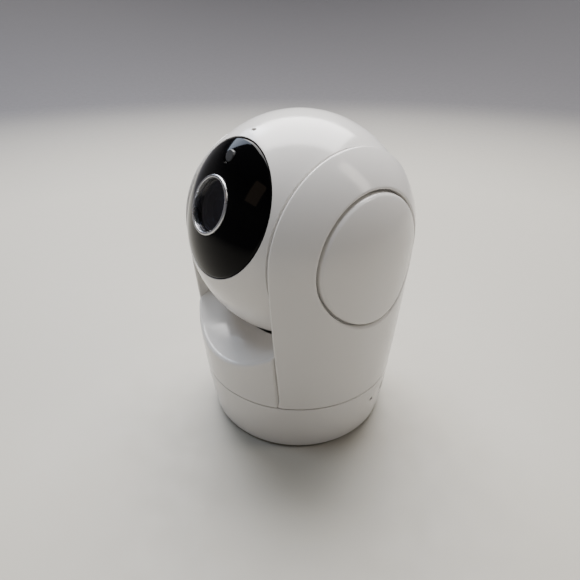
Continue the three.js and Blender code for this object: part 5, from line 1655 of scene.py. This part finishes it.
# ---- Stage -----------------------------------------------------------------------------------
@dataclass
class Studio:
    """Pale floor that curves up into a wall, soft lights, and the camera.

    Attributes:
        azimuth: the camera's angle round the object from its front, towards +X.
        elevation: its angle above level.
        target: the point it looks at, in millimetres.
        distance: its distance from that point.
        lens: its focal length, on a frame 36 mm wide.
        floor: radius of the flat floor.
        bend: radius of the bend up into the wall.
        wall_z: level of the wall's top.
        board: thickness of floor and wall.
        fade: distances from the origin, in metres, between which the board darkens.
    """

    azimuth: float = 51.82
    elevation: float = 30.33
    target: tuple[float, float, float] = (-5.37, 0.0, 47.74)
    distance: float = 183.47
    lens: float = 27.06
    floor: float = 900.0
    bend: float = 700.0
    wall_z: float = 1500.0
    board: float = 20.0
    fade: tuple[float, float] = (0.35, 1.0)

    def backdrop(self) -> None:
        """Floor and wall: a flat disc that turns up along an arc into a cylinder."""
        turn = np.linspace(-math.pi / 2, 0, 24)
        arc = np.c_[self.floor + self.bend * np.cos(turn), self.bend + self.bend * np.sin(turn)]
        wall = self.floor + self.bend
        inside = np.concatenate([[[0, 0]], arc, [[wall, self.wall_z]]])
        outside = [[wall + self.board, self.wall_z], [wall + self.board, -self.board], [0, -self.board]]
        made = turned("backdrop", np.concatenate([inside, outside]), upright(z=-0.05), 128)
        finish = Finish("painted board", "#C3C2BE", 0.5, Relief.GRAIN, 1.5, 0.01, 0.06)
        finish.dress(made, "stage")
        tree = made.data.materials[0].node_tree
        place = add_node(tree, "ShaderNodeTexCoord").outputs["Object"]
        away = add_node(tree, "ShaderNodeVectorMath", {0: place}, operation="LENGTH").outputs["Value"]
        ramp = add_node(tree, "ShaderNodeValToRGB", {"Fac": away})
        near, far = ramp.color_ramp.elements
        near.position, far.position = self.fade
        near.color, far.color = linear("#ABA89F"), linear("#68676A")
        shader = next(node for node in tree.nodes if node.type == "BSDF_PRINCIPLED")
        tree.links.new(ramp.outputs["Color"], shader.inputs["Base Color"])

    def panel(self, name: str, place: Sequence[float], size: Sequence[float], watts: float,
              colour: str) -> bpy.types.Object:
        """A soft light panel that faces the object.

        Args:
            name: its name.
            place: its middle in metres.
            size: its width and height in metres.
            watts: its power.
            colour: its hex colour.

        Returns:
            The light's object.
        """
        light = bpy.data.lights.new(name, "AREA")
        light.shape, light.size, light.size_y = "RECTANGLE", size[0], size[1]
        light.energy, light.color = watts, linear(colour)[:3]
        made = bpy.data.objects.new(name, light)
        made.location = place
        away = np.array(place) - np.array([0, 0, 0.06])
        made.rotation_euler = Vector(away).to_track_quat("Z", "Y").to_euler()
        bpy.context.scene.collection.objects.link(made)
        return made

    def lights(self) -> None:
        """A large soft light overhead, a cool window on the left and small glints on the right."""
        self.panel("overhead", (-0.45, 0.4, 1.05), (1.2, 0.9), 45.0, "#FFFCFA")
        self.panel("window", (-1.0, 0.05, 0.85), (0.4, 0.5), 4.0, "#DCE9FF")
        self.panel("glint", (-0.1, -0.85, 0.8), (0.26, 0.36), 0.3, "#F0D2B4")
        self.panel("strip", (0.6, 0.55, 0.85), (0.2, 0.6), 2.5, "#FFF6EC")
        high = self.panel("high fill", (-0.25, -0.42, 1.2), (0.35, 0.35), 4.5, "#DDE8F6")
        high.visible_glossy = False  # it lifts the scoop and leaves no reflection of its own
        world = bpy.data.worlds.new("room")
        bpy.context.scene.world = world
        world.use_nodes = True
        world.node_tree.nodes.clear()
        dim = {"Color": linear("#DCE0E6"), "Strength": 0.03}
        glow = add_node(world.node_tree, "ShaderNodeBackground", dim)
        add_node(world.node_tree, "ShaderNodeOutputWorld", {"Surface": glow.outputs["Background"]})

    def camera(self) -> None:
        """Camera on a ball round its target, at an azimuth and an elevation."""
        data = bpy.data.cameras.new("camera")
        data.lens, data.sensor_width, data.clip_start, data.clip_end = self.lens, 36.0, 0.005, 20.0
        made = bpy.data.objects.new("camera", data)
        turn, rise = math.radians(self.azimuth), math.radians(self.elevation)
        away = np.array([math.sin(turn) * math.cos(rise), -math.cos(turn) * math.cos(rise), math.sin(rise)])
        made.location = (np.array(self.target) + self.distance * away) * MM
        made.rotation_euler = Vector(away).to_track_quat("Z", "Y").to_euler()
        bpy.context.scene.collection.objects.link(made)
        bpy.context.scene.camera = made

    def build(self) -> None:
        """Sets up the stage."""
        self.backdrop()
        self.lights()
        self.camera()


def dress_frame() -> None:
    """Gives every frame node that is still shown its finish, and rounds its edges a little."""
    for name, node in frame["nodes"].items():
        slot = node.data.materials[0].name.split(".")[0]
        if node.hide_render:
            continue
        FINISHES[slot].dress(node, slot)
        weld_it = node.modifiers.new("weld", "WELD")
        weld_it.merge_threshold = 0.00001
        ease = node.modifiers.new("ease", "BEVEL")
        ease.width, ease.segments, ease.limit_method = 0.00015, 2, "ANGLE"
        ease.angle_limit = math.radians(40)
        ease.harden_normals = True
        log.info("%s keeps its frame shape as %s", name, slot)


def main() -> None:
    """Builds each sub-assembly, dresses what is left of the frame, and sets the stage."""
    logging.basicConfig(level=logging.INFO, format="%(name)s: %(message)s")
    Base().build()
    Arms().build()
    Covers().build()
    Ball().build()
    Face().build()
    dress_frame()
    Studio().build()


if __name__ == "__main__":
    main()
